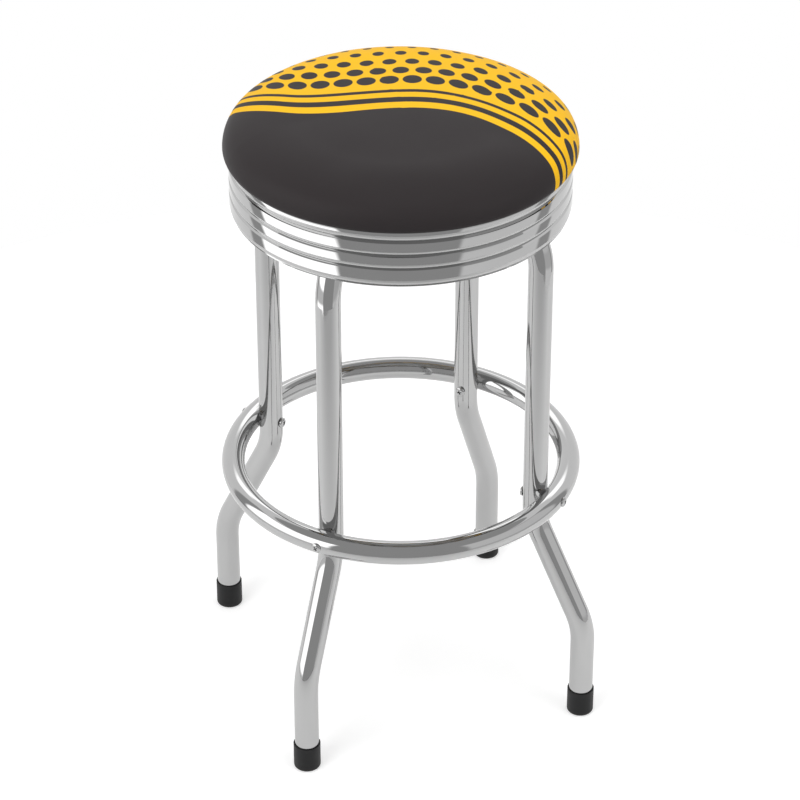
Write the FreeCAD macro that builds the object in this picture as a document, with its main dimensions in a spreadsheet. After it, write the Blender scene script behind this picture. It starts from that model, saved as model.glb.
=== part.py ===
import FreeCAD, Part
import math
import os

import Sketcher

# A swivel bar stool: four bent chrome legs, a foot ring, a ball-bearing swivel and a round padded seat.
# Millimetres, +Z up, origin on the floor at the centre. The legs stand on the X and Y axes.

SIZES = {
    "seat_height": 762.0,
    "crown_rise": 46.7,
    "pad_depth": 50.0,
    "seat_radius": 200.3,
    "crown_radius": 4900.0,
    "shoulder_radius": 104.5,
    "edge_radius": 32.5,
    "roll_radius": 6.7,
    "cover_wall": 1.1,
    "hem_width": 16.0,
    "soft_gap": 0.3,
    "board_thickness": 15.0,
    "seat_overhang": 6.3,
    "rim_wall": 0.9,
    "rim_height": 66.9,
    "first_groove": 11.9,
    "groove_pitch": 16.95,
    "groove_depth": 3.0,
    "first_curl_drop": 6.4,
    "curl_drop": 4.6,
    "slope_drop": 2.1,
    "lip_reach": 5.6,
    "bracket_angle": 9.0,
    "bracket_wall": 1.6,
    "bracket_drop": 19.0,
    "bracket_reach": 30.0,
    "bracket_screw_inset": 24.0,
    "bracket_count": 6.0,
    "tube_radius": 14.3,
    "tube_wall": 1.5,
    "leg_inset": 17.8,
    "foot_spread": 67.0,
    "upper_bend_height": 261.3,
    "lower_bend_height": 124.3,
    "bend_radius": 90.0,
    "crush_length": 16.0,
    "tongue_tip": 48.0,
    "leg_bolt_reach": 62.0,
    "leg_bolt_side": 11.0,
    "leg_bolt_radius": 3.0,
    "leg_bolt_head": 6.0,
    "leg_bolt_head_depth": 3.3,
    "leg_nut_radius": 5.5,
    "leg_nut_depth": 5.0,
    "washer_radius": 7.0,
    "washer_wall": 1.2,
    "thread_end": 1.5,
    "ring_reach": 23.1,
    "ring_tube_radius": 13.6,
    "ring_wall": 1.5,
    "ring_height": 293.4,
    "saddle_gap": 0.05,
    "ring_screw_radius": 2.5,
    "ring_screw_head": 5.4,
    "ring_screw_head_depth": 3.4,
    "sleeve_radius": 3.5,
    "sleeve_length": 22.0,
    "sleeve_dome": 5.3,
    "sleeve_dome_depth": 4.4,
    "hole_gap": 0.1,
    "cap_radius": 15.9,
    "cap_height": 33.0,
    "cap_floor": 4.0,
    "cap_edge": 3.0,
    "cap_gap": 0.05,
    "plate_wall": 2.0,
    "swivel_depth": 15.5,
    "lower_plate_side": 122.0,
    "upper_plate_side": 120.0,
    "plate_corner": 20.0,
    "plate_clearance": 0.22,
    "disc_radius": 50.0,
    "disc_slope": 6.0,
    "disc_gap": 3.4,
    "race_radius": 32.0,
    "ball_radius": 3.175,
    "ball_gap": 0.3,
    "ball_count": 12.0,
    "cage_wall": 1.2,
    "cage_half_width": 6.5,
    "cage_hole_gap": 0.15,
    "rivet_radius": 8.0,
    "rivet_bore": 6.0,
    "rivet_flange": 12.0,
    "rivet_flange_wall": 1.4,
    "running_gap": 0.06,
    "seat_screw_reach": 66.0,
    "seat_screw_radius": 3.0,
    "seat_screw_head": 5.5,
    "seat_screw_head_depth": 3.3,
    "tee_flange_radius": 9.0,
    "tee_flange_wall": 1.4,
    "tee_barrel_radius": 4.2,
    "tee_barrel_length": 10.0,
    "board_screw_radius": 2.0,
    "board_screw_head": 4.2,
    "board_screw_head_depth": 2.6,
    "board_screw_length": 12.0,
}

SIDES = ("right", "rear", "left", "front")
UP = FreeCAD.Vector(0, 0, 1)

LEG_COUNT = 4
GROOVE_COUNT = 3
CROWN_SHARE = 0.45

doc = FreeCAD.newDocument("swivel_stool")
sheet = doc.addObject("Spreadsheet::Sheet", "sizes")
for row, (size_name, size_value) in enumerate(SIZES.items(), 1):
    sheet.set("A%d" % row, size_name)
    sheet.set("B%d" % row, str(size_value))
    sheet.setAlias("B%d" % row, size_name)
doc.recompute()


class Size:
    """A number together with the formula that ties it to the sheet."""

    def __init__(self, value, formula):
        self.value = float(value)
        self.formula = formula

    def __add__(self, other):
        other = as_size(other)
        return Size(self.value + other.value, "(%s + %s)" % (self.formula, other.formula))

    def __sub__(self, other):
        other = as_size(other)
        return Size(self.value - other.value, "(%s - %s)" % (self.formula, other.formula))

    def __mul__(self, other):
        other = as_size(other)
        return Size(self.value * other.value, "(%s * %s)" % (self.formula, other.formula))

    def __truediv__(self, other):
        other = as_size(other)
        return Size(self.value / other.value, "(%s / %s)" % (self.formula, other.formula))

    def __neg__(self):
        return Size(-self.value, "(0 - %s)" % self.formula)


def as_size(number):
    if isinstance(number, Size):
        return number
    return Size(number, repr(float(number)))


def root(size):
    return Size(math.sqrt(size.value), "sqrt(%s)" % size.formula)


class Values:
    """Every size of the sheet under its own name."""


v = Values()
for size_name in SIZES:
    setattr(v, size_name, Size(sheet.get(size_name), "sizes." + size_name))

# Heights, from the crown down to the tongues of the legs
board_top = v.seat_height - v.pad_depth
board_bottom = board_top - v.board_thickness
plates_bottom = board_bottom - v.swivel_depth
race_height = plates_bottom + v.swivel_depth / 2
arm_height = plates_bottom - v.tube_wall
tongue_bottom = arm_height - v.tube_wall
widest_height = v.seat_height - v.crown_rise
roll_bottom = widest_height - v.roll_radius
rim_top = roll_bottom - v.soft_gap
rim_bottom = rim_top - v.rim_height

# What fits inside the rim band, past its inward grooves
rim_radius = v.seat_radius - v.seat_overhang
rim_bore = rim_radius - v.rim_wall
neck_radius = rim_bore - v.groove_depth - v.soft_gap
board_radius = neck_radius - v.cover_wall - v.soft_gap
hem_bottom = board_bottom - v.cover_wall - v.soft_gap
bracket_screw_circle = rim_bore - v.bracket_screw_inset

# The foot ring's outermost line, and the inner faces of the legs
leg_circle = rim_radius - v.leg_inset
foot_circle = leg_circle + v.foot_spread
ring_radius = leg_circle + v.ring_reach
ring_crest = ring_radius + v.ring_tube_radius
leg_inner_face = leg_circle - v.tube_radius
plate_reach = (v.lower_plate_side / 2 - v.plate_corner) * math.sqrt(2) + v.plate_corner
tongue_end = plate_reach + v.plate_clearance
arm_end = tongue_end + v.crush_length
top_bend_radius = leg_circle - arm_end


def new_body(name, turn=0.0):
    """A body, turned about the stool's upright axis."""
    body = doc.addObject("PartDesign::Body", name)
    body.Label = name
    body.AllowCompound = True
    body.Placement = FreeCAD.Placement(FreeCAD.Vector(), FreeCAD.Rotation(UP, turn))
    return body


def origin_part(body, role):
    return next(part for part in body.Origin.OriginFeatures if part.Role == role)


def new_sketch(body, name, plane="XZ_Plane", offset=None):
    """A sketch on one of the body's origin planes, moved along its normal by offset."""
    sketch = body.newObject("Sketcher::SketchObject", name)
    sketch.AttachmentSupport = [(origin_part(body, plane), "")]
    sketch.MapMode = "FlatFace"
    if offset is not None:
        sketch.AttachmentOffset = FreeCAD.Placement(FreeCAD.Vector(0, 0, offset.value), FreeCAD.Rotation())
        sketch.setExpression("AttachmentOffset.Base.z", offset.formula)
    return sketch


def tie(sketch, kind, *what):
    """Adds a dimension whose last entry is a Size, bound to the sheet."""
    size = what[-1]
    index = sketch.addConstraint(Sketcher.Constraint(kind, *what[:-1], size.value))
    sketch.setExpression("Constraints[%d]" % index, size.formula)


def pin_point(sketch, edge, end, x, y):
    """Fixes one end of an edge at x, y. A coordinate of zero puts it on that axis."""
    for kind, size, axis in (("DistanceX", x, -2), ("DistanceY", y, -1)):
        if size.value == 0:
            sketch.addConstraint(Sketcher.Constraint("PointOnObject", edge, end, axis))
        else:
            tie(sketch, kind, -1, 1, edge, end, size)


def arc_between(start, end, radius, side):
    """An arc under half a turn. Side 1 has its centre left of the way from start to end, -1 right."""
    chord = end - start
    half = chord.Length / 2
    across = FreeCAD.Vector(-chord.y, chord.x, 0).normalize() * side
    centre = start + chord * 0.5 + across * math.sqrt(radius * radius - half * half)
    angles = [math.atan2(point.y - centre.y, point.x - centre.x) for point in (start, end)]
    if side < 0:
        angles.reverse()
    return Part.ArcOfCircle(Part.Circle(centre, UP, radius), *angles)


def draw(sketch, points, closed=True):
    """Draws straight stretches and arcs from point to point.

    A point is (x, y), or (x, y, radius, side) where the stretch that arrives there is an arc.
    """
    points = [tuple(as_size(number) for number in point[:3]) + tuple(point[3:]) for point in points]
    stretches = list(zip(points, points[1:]))
    if closed:
        stretches.append((points[-1], points[0]))
    drawn = []
    for start, end in stretches:
        a = FreeCAD.Vector(start[0].value, start[1].value, 0)
        b = FreeCAD.Vector(end[0].value, end[1].value, 0)
        first, last = 1, 2
        if len(end) == 4:
            radius, side = end[2:]
            edge = sketch.addGeometry(arc_between(a, b, radius.value, side), False)
            tie(sketch, "Radius", edge, radius)
            if side < 0:
                first, last = 2, 1
        else:
            edge = sketch.addGeometry(Part.LineSegment(a, b), False)
        pin_point(sketch, edge, last, end[0], end[1])
        drawn.append((edge, first, last))
    for before, after in zip(drawn, drawn[1:]):
        sketch.addConstraint(Sketcher.Constraint("Coincident", before[0], before[2], after[0], after[1]))
    if closed:
        before, after = drawn[-1], drawn[0]
        sketch.addConstraint(Sketcher.Constraint("Coincident", before[0], before[2], after[0], after[1]))
    else:
        pin_point(sketch, drawn[0][0], drawn[0][1], points[0][0], points[0][1])


def draw_circle(sketch, x, y, radius):
    x, y, radius = as_size(x), as_size(y), as_size(radius)
    circle = Part.Circle(FreeCAD.Vector(x.value, y.value, 0), UP, radius.value)
    edge = sketch.addGeometry(circle, False)
    tie(sketch, "Radius", edge, radius)
    pin_point(sketch, edge, 3, x, y)


def draw_axis(sketch, start, end):
    """A construction line that a section turns about. Returns its name."""
    start = [as_size(number) for number in start]
    end = [as_size(number) for number in end]
    line = Part.LineSegment(*[FreeCAD.Vector(x.value, y.value, 0) for x, y in (start, end)])
    edge = sketch.addGeometry(line, True)
    pin_point(sketch, edge, 1, *start)
    pin_point(sketch, edge, 2, *end)
    return "Axis0"


def revolve(body, sketch, axis="V_Axis", kind="Revolution"):
    turned = body.newObject("PartDesign::" + kind, sketch.Name + "_turned")
    turned.Profile = sketch
    turned.ReferenceAxis = (sketch, [axis])
    turned.Angle = 360.0
    body.Tip = turned
    return turned


def pad(body, sketch, length):
    padded = body.newObject("PartDesign::Pad", sketch.Name + "_pad")
    padded.Profile = sketch
    padded.Length = length.value
    padded.setExpression("Length", length.formula)
    body.Tip = padded
    return padded


def pocket(body, sketch):
    """Cuts right through, to both sides of the sketch."""
    opened = body.newObject("PartDesign::Pocket", sketch.Name + "_cut")
    opened.Profile = sketch
    opened.Type = "ThroughAll"
    opened.SideType = "Symmetric"
    body.Tip = opened
    return opened


def round_array(body, features, count, turn=360.0):
    """Repeats features about the body's upright axis."""
    array = body.newObject("PartDesign::PolarPattern", body.Name + "_array")
    array.Originals = features
    array.Axis = (origin_part(body, "Z_Axis"), [""])
    array.Angle = turn
    count = as_size(count)
    array.Occurrences = int(count.value)
    array.setExpression("Occurrences", count.formula)
    body.Tip = array
    return array


def section_body(name, points, turn=0.0):
    """A piece turned from one outline about the stool's own axis."""
    body = new_body(name, turn)
    sketch = new_sketch(body, name + "_section")
    draw(sketch, points)
    revolve(body, sketch)
    return body


def drill(name, radius, start, length, direction):
    """A cylinder that stands for a drilled hole."""
    tool = doc.addObject("Part::Cylinder", name)
    for what, size in (("Radius", radius), ("Height", length)):
        setattr(tool, what, size.value)
        tool.setExpression(what, size.formula)
    start = [as_size(number) for number in start]
    tool.Placement = FreeCAD.Placement(
        FreeCAD.Vector(*[number.value for number in start]), FreeCAD.Rotation(UP, FreeCAD.Vector(*direction))
    )
    for letter, number in zip("xyz", start):
        tool.setExpression("Placement.Base." + letter, number.formula)
    return tool


def fuse(name, parts):
    joined = doc.addObject("Part::MultiFuse", name)
    joined.Shapes = parts
    return joined


def cut(name, base, tool, turn=0.0):
    result = doc.addObject("Part::Cut", name)
    result.Base = base
    result.Tool = tool
    result.Placement = FreeCAD.Placement(FreeCAD.Vector(), FreeCAD.Rotation(UP, turn))
    return result


def crushed_width():
    """A crushed tube's width, which follows from the length round its wall."""
    return v.tube_wall * 2 + (v.tube_radius - v.tube_wall) * math.pi


def draw_round_end(sketch, radius, height):
    """A circle in six arcs, one for each edge of the crushed end that it runs into."""
    half = radius / 2
    tall = radius * math.sqrt(0.75)
    corners = [(half, -tall), (radius, None), (half, tall), (-half, tall), (-radius, None), (-half, -tall)]
    draw(sketch, [(x, height if z is None else height + z, radius, 1) for x, z in corners])


def draw_flat_end(sketch, width, depth, height):
    """A crushed tube: two flat faces joined by round edges."""
    half = depth / 2
    side = width / 2 - half
    draw(
        sketch,
        [
            (side, height - half),
            (side + half, height, half, 1),
            (side, height + half, half, 1),
            (-side, height + half),
            (-side - half, height, half, 1),
            (-side, height - half, half, 1),
        ],
    )


def draw_leg_path(sketch):
    """The leg's centre line: up from the foot, over two bends, up, and over into the seat."""
    rise = v.upper_bend_height - v.lower_bend_height
    run = foot_circle - leg_circle
    slant = root(rise * rise + run * run)
    setback = v.bend_radius * run / (slant + rise)
    inward = setback * run / slant
    upward = setback * rise / slant
    draw(
        sketch,
        [
            (foot_circle, v.cap_floor),
            (foot_circle, v.lower_bend_height - setback),
            (foot_circle - inward, v.lower_bend_height + upward, v.bend_radius, 1),
            (leg_circle + inward, v.upper_bend_height - upward),
            (leg_circle, v.upper_bend_height + setback, v.bend_radius, -1),
            (leg_circle, arm_height - top_bend_radius),
            (arm_end, arm_height, top_bend_radius, 1),
        ],
        closed=False,
    )


def leg_form(name, radius, saddle_radius, flat_width, flat_depth):
    """A round bent bar that flattens at its top end, dented by the foot ring."""
    body = new_body(name)
    path = new_sketch(body, name + "_path")
    draw_leg_path(path)
    section = new_sketch(body, name + "_section", "XY_Plane", v.cap_floor)
    draw_circle(section, foot_circle, 0, radius)
    pipe = body.newObject("PartDesign::AdditivePipe", name + "_pipe")
    pipe.Profile = section
    pipe.Spine = path
    doc.recompute()
    round_end = new_sketch(body, name + "_round_end", "YZ_Plane", arm_end)
    draw_round_end(round_end, radius, arm_height)
    flat_end = new_sketch(body, name + "_flat_end", "YZ_Plane", tongue_end)
    draw_flat_end(flat_end, flat_width, flat_depth, arm_height)
    crush = body.newObject("PartDesign::AdditiveLoft", name + "_crush")
    crush.Profile = round_end
    crush.Sections = [flat_end]
    body.Tip = crush
    doc.recompute()
    dent = new_sketch(body, name + "_dent")
    draw_circle(dent, ring_radius, v.ring_height, saddle_radius)
    revolve(body, dent, kind="Groove")
    return body


def leg_tongue():
    """The flat end of a leg, which bolts to the swivel plate."""
    body = new_body("tongue")
    sketch = new_sketch(body, "tongue_section", "YZ_Plane", v.tongue_tip)
    draw_flat_end(sketch, crushed_width(), v.tube_wall * 2, arm_height)
    pad(body, sketch, tongue_end - v.tongue_tip)
    return body


def make_legs():
    """Bent tubes of even wall. The pressed saddle keeps its wall behind the foot ring."""
    saddle = v.ring_tube_radius + v.saddle_gap
    outside = leg_form("leg_outside", v.tube_radius, saddle, crushed_width(), v.tube_wall * 2)
    inside = leg_form(
        "leg_inside",
        v.tube_radius - v.tube_wall,
        saddle + v.tube_wall,
        crushed_width() - v.tube_wall * 2,
        v.tube_wall / 4,
    )
    axis = (leg_circle, 0, v.ring_height)
    hole = v.leg_bolt_radius + v.hole_gap
    through = v.tube_wall * 4
    below = tongue_bottom - v.tube_wall
    drills = [
        drill("screw_way", v.ring_screw_radius + v.hole_gap, axis, v.tube_radius * 2, (1, 0, 0)),
        drill("sleeve_way", v.sleeve_radius + v.hole_gap, axis, v.tube_radius * 2, (-1, 0, 0)),
        drill("bolt_way_left", hole, (v.leg_bolt_reach, v.leg_bolt_side, below), through, (0, 0, 1)),
        drill("bolt_way_right", hole, (v.leg_bolt_reach, -v.leg_bolt_side, below), through, (0, 0, 1)),
    ]
    solid = fuse("leg_solid", [outside, leg_tongue()])
    hollow = fuse("leg_hollow", [inside] + drills)
    return [cut("leg_" + side, solid, hollow, 90.0 * number) for number, side in enumerate(SIDES)]


def make_foot_ring():
    """A tube bent into a full circle and drilled for its four screws."""
    tube = new_body("ring_tube", 45.0)
    section = new_sketch(tube, "ring_tube_section")
    draw_circle(section, ring_radius, v.ring_height, v.ring_tube_radius)
    draw_circle(section, ring_radius, v.ring_height, v.ring_tube_radius - v.ring_wall)
    revolve(tube, section)
    hole = v.ring_screw_radius + v.hole_gap
    across = ring_crest * 2
    drills = [
        drill("ring_way_x", hole, (-ring_crest, 0, v.ring_height), across, (1, 0, 0)),
        drill("ring_way_y", hole, (0, -ring_crest, v.ring_height), across, (0, 1, 0)),
    ]
    return cut("foot_ring", tube, fuse("ring_ways", drills))


def make_foot_caps():
    """Rubber caps with a closed, rounded bottom."""
    caps = []
    axis = foot_circle
    bore = v.tube_radius + v.cap_gap
    for number, side in enumerate(SIDES):
        body = new_body("foot_cap_" + side, 90.0 * number)
        sketch = new_sketch(body, body.Name + "_section")
        draw(
            sketch,
            [
                (axis, 0),
                (axis + v.cap_radius - v.cap_edge, 0),
                (axis + v.cap_radius, v.cap_edge, v.cap_edge, 1),
                (axis + v.cap_radius, v.cap_height),
                (axis + bore, v.cap_height),
                (axis + bore, v.cap_floor),
                (axis, v.cap_floor),
            ],
        )
        revolve(body, sketch, draw_axis(sketch, (axis, 0), (axis, v.cap_height)))
        caps.append(body)
    return caps


def pan_head(radius, depth):
    """How far a pan head's crown rises from its rim, and the crown's radius."""
    rise = depth * CROWN_SHARE
    return rise, (radius * radius + rise * rise) / (rise * 2)


def upright_screw(body, number, reach, side_step, seat, toward, head, depth, shank, length):
    """A pan-headed screw on an upright axis. toward is 1 where its shank points up."""
    rise, crown = pan_head(head, depth)
    outer = seat - depth * toward
    sketch = new_sketch(body, "%s_section_%d" % (body.Name, number), "XZ_Plane", side_step)
    draw(
        sketch,
        [
            (reach, outer),
            (reach + head, outer + rise * toward, crown, toward),
            (reach + head, seat),
            (reach + shank, seat),
            (reach + shank, seat + length * toward),
            (reach, seat + length * toward),
        ],
    )
    return revolve(body, sketch, draw_axis(sketch, (reach, outer), (reach, seat + length * toward)))


def make_ring_screws():
    """Pan-headed screws that lie along the legs' radii, heads outside the ring."""
    body = new_body("ring_screws")
    sketch = new_sketch(body, "ring_screw_section")
    height = v.ring_height
    rise, crown = pan_head(v.ring_screw_head, v.ring_screw_head_depth)
    tip = leg_inner_face + v.sleeve_length / 4
    outer = ring_crest + v.ring_screw_head_depth
    draw(
        sketch,
        [
            (outer, height),
            (outer - rise, height + v.ring_screw_head, crown, 1),
            (ring_crest, height + v.ring_screw_head),
            (ring_crest, height + v.ring_screw_radius),
            (tip, height + v.ring_screw_radius),
            (tip, height),
        ],
    )
    turned = revolve(body, sketch, draw_axis(sketch, (tip, height), (outer, height)))
    doc.recompute()
    round_array(body, [turned], LEG_COUNT)
    return body


def make_ring_nuts():
    """Domed sleeve nuts, whose barrels pass through the legs' inner walls."""
    body = new_body("ring_nuts")
    sketch = new_sketch(body, "ring_nut_section")
    height = v.ring_height
    bore = v.ring_screw_radius + v.hole_gap / 2
    rise, crown = pan_head(v.sleeve_dome, v.sleeve_dome_depth)
    outer = leg_inner_face - v.sleeve_dome_depth
    end = leg_inner_face + v.sleeve_length
    draw(
        sketch,
        [
            (outer, height, crown, 1),
            (leg_inner_face, height),
            (leg_inner_face, height + bore),
            (end, height + bore),
            (end, height + v.sleeve_radius),
            (leg_inner_face, height + v.sleeve_radius),
            (leg_inner_face, height + v.sleeve_dome),
            (outer + rise, height + v.sleeve_dome),
        ],
    )
    turned = revolve(body, sketch, draw_axis(sketch, (outer, height), (end, height)))
    doc.recompute()
    round_array(body, [turned], LEG_COUNT)
    return body


def make_leg_bolts():
    """Two bolts to a tongue, heads on the lower swivel plate."""
    body = new_body("leg_bolts")
    plate_top = plates_bottom + v.plate_wall
    length = plate_top - leg_nut_bottom() + v.thread_end
    screws = [
        upright_screw(body, number, v.leg_bolt_reach, side, plate_top, -1, v.leg_bolt_head,
                      v.leg_bolt_head_depth, v.leg_bolt_radius, length)
        for number, side in enumerate((v.leg_bolt_side, -v.leg_bolt_side))
    ]
    doc.recompute()
    round_array(body, screws, 4)
    return body


def leg_nut_bottom():
    return tongue_bottom - v.washer_wall - v.leg_nut_depth


def leg_ring(name, low, depth, draw_outside):
    """Washers or nuts on the leg bolts, eight in all."""
    body = new_body(name)
    sketch = new_sketch(body, name + "_section", "XY_Plane", low)
    for side in (v.leg_bolt_side, -v.leg_bolt_side):
        draw_outside(sketch, v.leg_bolt_reach, side)
        draw_circle(sketch, v.leg_bolt_reach, side, v.leg_bolt_radius + v.hole_gap / 2)
    padded = pad(body, sketch, depth)
    doc.recompute()
    round_array(body, [padded], LEG_COUNT)
    return body


def draw_washer(sketch, x, y):
    draw_circle(sketch, x, y, v.washer_radius)


def draw_hexagon(sketch, x, y):
    half = v.leg_nut_radius / 2
    tall = v.leg_nut_radius * math.sqrt(0.75)
    wide = v.leg_nut_radius
    corners = [(x + wide, y), (x + half, y + tall), (x - half, y + tall)]
    corners += [(x - wide, y), (x - half, y - tall), (x + half, y - tall)]
    draw(sketch, corners)


def make_leg_fasteners():
    washer_low = tongue_bottom - v.washer_wall
    washers = leg_ring("leg_washers", washer_low, v.washer_wall, draw_washer)
    nuts = leg_ring("leg_nuts", leg_nut_bottom(), v.leg_nut_depth, draw_hexagon)
    return [make_leg_bolts(), washers, nuts]


def rounded_square(sketch, side, corner):
    """A square about the origin, with rounded corners."""
    half = side / 2
    flat = half - corner
    draw(
        sketch,
        [
            (half, -flat, corner, 1),
            (half, flat),
            (flat, half, corner, 1),
            (-flat, half),
            (-half, flat, corner, 1),
            (-half, -flat),
            (-flat, -half, corner, 1),
            (flat, -half),
        ],
    )


def stamped_disc(side):
    """The plate's raised middle with its ball track. side is -1 below the balls, 1 above them."""

    def level(distance):
        return race_height + distance * side

    near = v.disc_gap / 2
    far = near + v.plate_wall
    rim_far = v.swivel_depth / 2
    rim_near = rim_far - v.plate_wall
    drop = rim_near - near
    shift = v.plate_wall * (root(drop * drop + v.disc_slope * v.disc_slope) - v.disc_slope) / drop
    near_track = v.ball_radius + v.ball_gap
    far_track = near_track + v.plate_wall
    near_half = root(near_track * near_track - near * near)
    far_half = root(far_track * far_track - far * far)
    bore = v.rivet_radius + v.running_gap
    slope_top = v.disc_radius - v.disc_slope
    return [
        (bore, level(near)),
        (v.race_radius - near_half, level(near)),
        (v.race_radius + near_half, level(near), near_track, -side),
        (slope_top, level(near)),
        (v.disc_radius, level(rim_near)),
        (v.disc_radius, level(rim_far)),
        (v.disc_radius - shift, level(rim_far)),
        (slope_top - shift, level(far)),
        (v.race_radius + far_half, level(far)),
        (v.race_radius - far_half, level(far), far_track, side),
        (bore, level(far)),
    ]


def swivel_plate(name, side, low, plate_side, hole_radius, holes):
    """A square pressed plate whose corners are bolted down, with the ball track in its middle."""
    body = new_body(name, 45.0)
    sketch = new_sketch(body, name + "_outline", "XY_Plane", low)
    rounded_square(sketch, plate_side, v.plate_corner)
    draw_circle(sketch, 0, 0, v.disc_radius)
    pad(body, sketch, v.plate_wall)
    doc.recompute()
    disc = new_sketch(body, name + "_disc")
    draw(disc, stamped_disc(side))
    revolve(body, disc)
    doc.recompute()
    drilled = new_sketch(body, name + "_hole", "XY_Plane", low)
    for x, y in holes:
        draw_circle(drilled, x, y, hole_radius)
    round_array(body, [pocket(body, drilled)], LEG_COUNT)
    return body


def make_swivel_plates():
    turned = math.sqrt(0.5)
    near = (v.leg_bolt_reach - v.leg_bolt_side) * turned
    far = (v.leg_bolt_reach + v.leg_bolt_side) * turned
    lower = swivel_plate(
        "swivel_lower_plate", -1, plates_bottom, v.lower_plate_side, v.leg_bolt_radius + v.hole_gap,
        [(near, far), (far, near)]
    )
    upper = swivel_plate(
        "swivel_upper_plate", 1, board_bottom - v.plate_wall, v.upper_plate_side,
        v.seat_screw_radius + v.hole_gap, [(v.seat_screw_reach * turned, v.seat_screw_reach * turned)]
    )
    upper.Placement = FreeCAD.Placement()
    return [lower, upper]


def make_pivot_rivet():
    """A tubular rivet, spread at both ends, on which the upper plate turns."""
    out = v.disc_gap / 2 + v.plate_wall
    low = race_height - out
    high = race_height + out + v.ball_gap
    return section_body(
        "pivot_rivet",
        [
            (v.rivet_bore, low - v.rivet_flange_wall),
            (v.rivet_flange, low - v.rivet_flange_wall),
            (v.rivet_flange, low),
            (v.rivet_radius, low),
            (v.rivet_radius, high),
            (v.rivet_flange, high),
            (v.rivet_flange, high + v.rivet_flange_wall),
            (v.rivet_bore, high + v.rivet_flange_wall),
        ],
    )


def make_balls():
    body = new_body("balls")
    sketch = new_sketch(body, "ball_section")
    radius = v.ball_radius
    draw(
        sketch,
        [
            (v.race_radius, race_height - radius),
            (v.race_radius + radius, race_height, radius, 1),
            (v.race_radius, race_height + radius, radius, 1),
        ],
    )
    ends = [(v.race_radius, race_height - radius), (v.race_radius, race_height + radius)]
    ball = revolve(body, sketch, draw_axis(sketch, *ends))
    doc.recompute()
    round_array(body, [ball], v.ball_count)
    return body


def make_ball_cage():
    """A flat ring that keeps the balls apart."""
    body = new_body("ball_cage")
    low = race_height - v.cage_wall / 2
    sketch = new_sketch(body, "ball_cage_outline", "XY_Plane", low)
    draw_circle(sketch, 0, 0, v.race_radius + v.cage_half_width)
    draw_circle(sketch, 0, 0, v.race_radius - v.cage_half_width)
    pad(body, sketch, v.cage_wall)
    doc.recompute()
    hole = new_sketch(body, "ball_cage_hole", "XY_Plane", low)
    draw_circle(hole, v.race_radius, 0, v.ball_radius + v.cage_hole_gap)
    round_array(body, [pocket(body, hole)], v.ball_count)
    return body


def make_seat_screws():
    body = new_body("seat_screws", 45.0)
    low = board_bottom - v.plate_wall
    length = board_top - v.tee_flange_wall - low
    screw = upright_screw(
        body, 0, v.seat_screw_reach, as_size(0), low, 1, v.seat_screw_head, v.seat_screw_head_depth,
        v.seat_screw_radius, length
    )
    doc.recompute()
    round_array(body, [screw], LEG_COUNT)
    return body


def make_tee_nuts():
    """Flanged nuts let into the top of the board."""
    body = new_body("tee_nuts", 45.0)
    reach = v.seat_screw_reach
    bore = v.seat_screw_radius + v.hole_gap / 2
    flange_low = board_top - v.tee_flange_wall
    sketch = new_sketch(body, "tee_nut_section")
    draw(
        sketch,
        [
            (reach + bore, board_top),
            (reach + bore, board_top - v.tee_barrel_length),
            (reach + v.tee_barrel_radius, board_top - v.tee_barrel_length),
            (reach + v.tee_barrel_radius, flange_low),
            (reach + v.tee_flange_radius, flange_low),
            (reach + v.tee_flange_radius, board_top),
        ],
    )
    nut = revolve(body, sketch, draw_axis(sketch, (reach, flange_low), (reach, board_top)))
    doc.recompute()
    round_array(body, [nut], LEG_COUNT)
    return body


def make_seat_board():
    """Plywood disc, bored for the tee nuts and piloted for the bracket screws."""
    body = new_body("seat_board", 45.0)
    sketch = new_sketch(body, "seat_board_section")
    draw(sketch, [(0, board_bottom), (board_radius, board_bottom), (board_radius, board_top), (0, board_top)])
    revolve(body, sketch)
    doc.recompute()
    reach = v.seat_screw_reach
    gap = v.hole_gap
    nut_way = new_sketch(body, "tee_nut_way")
    draw(
        nut_way,
        [
            (reach, board_bottom),
            (reach + v.tee_barrel_radius + gap, board_bottom),
            (reach + v.tee_barrel_radius + gap, board_top - v.tee_flange_wall),
            (reach + v.tee_flange_radius + gap, board_top - v.tee_flange_wall),
            (reach + v.tee_flange_radius + gap, board_top),
            (reach, board_top),
        ],
    )
    way = revolve(body, nut_way, draw_axis(nut_way, (reach, board_bottom), (reach, board_top)), "Groove")
    doc.recompute()
    nut_ways = round_array(body, [way], LEG_COUNT)
    nut_ways.Label = "tee_nut_ways"
    doc.recompute()
    pilot = new_sketch(body, "board_pilot", "XY_Plane", board_bottom)
    draw_circle(pilot, bracket_screw_circle, 0, v.board_screw_radius + gap / 2)
    drilled = body.newObject("PartDesign::Pocket", "board_pilot_cut")
    drilled.Profile = pilot
    depth = v.board_screw_length - v.bracket_wall
    drilled.Length = depth.value
    drilled.setExpression("Length", depth.formula)
    drilled.Reversed = True
    body.Tip = drilled
    doc.recompute()
    round_array(body, [drilled], v.bracket_count)
    return body


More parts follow.
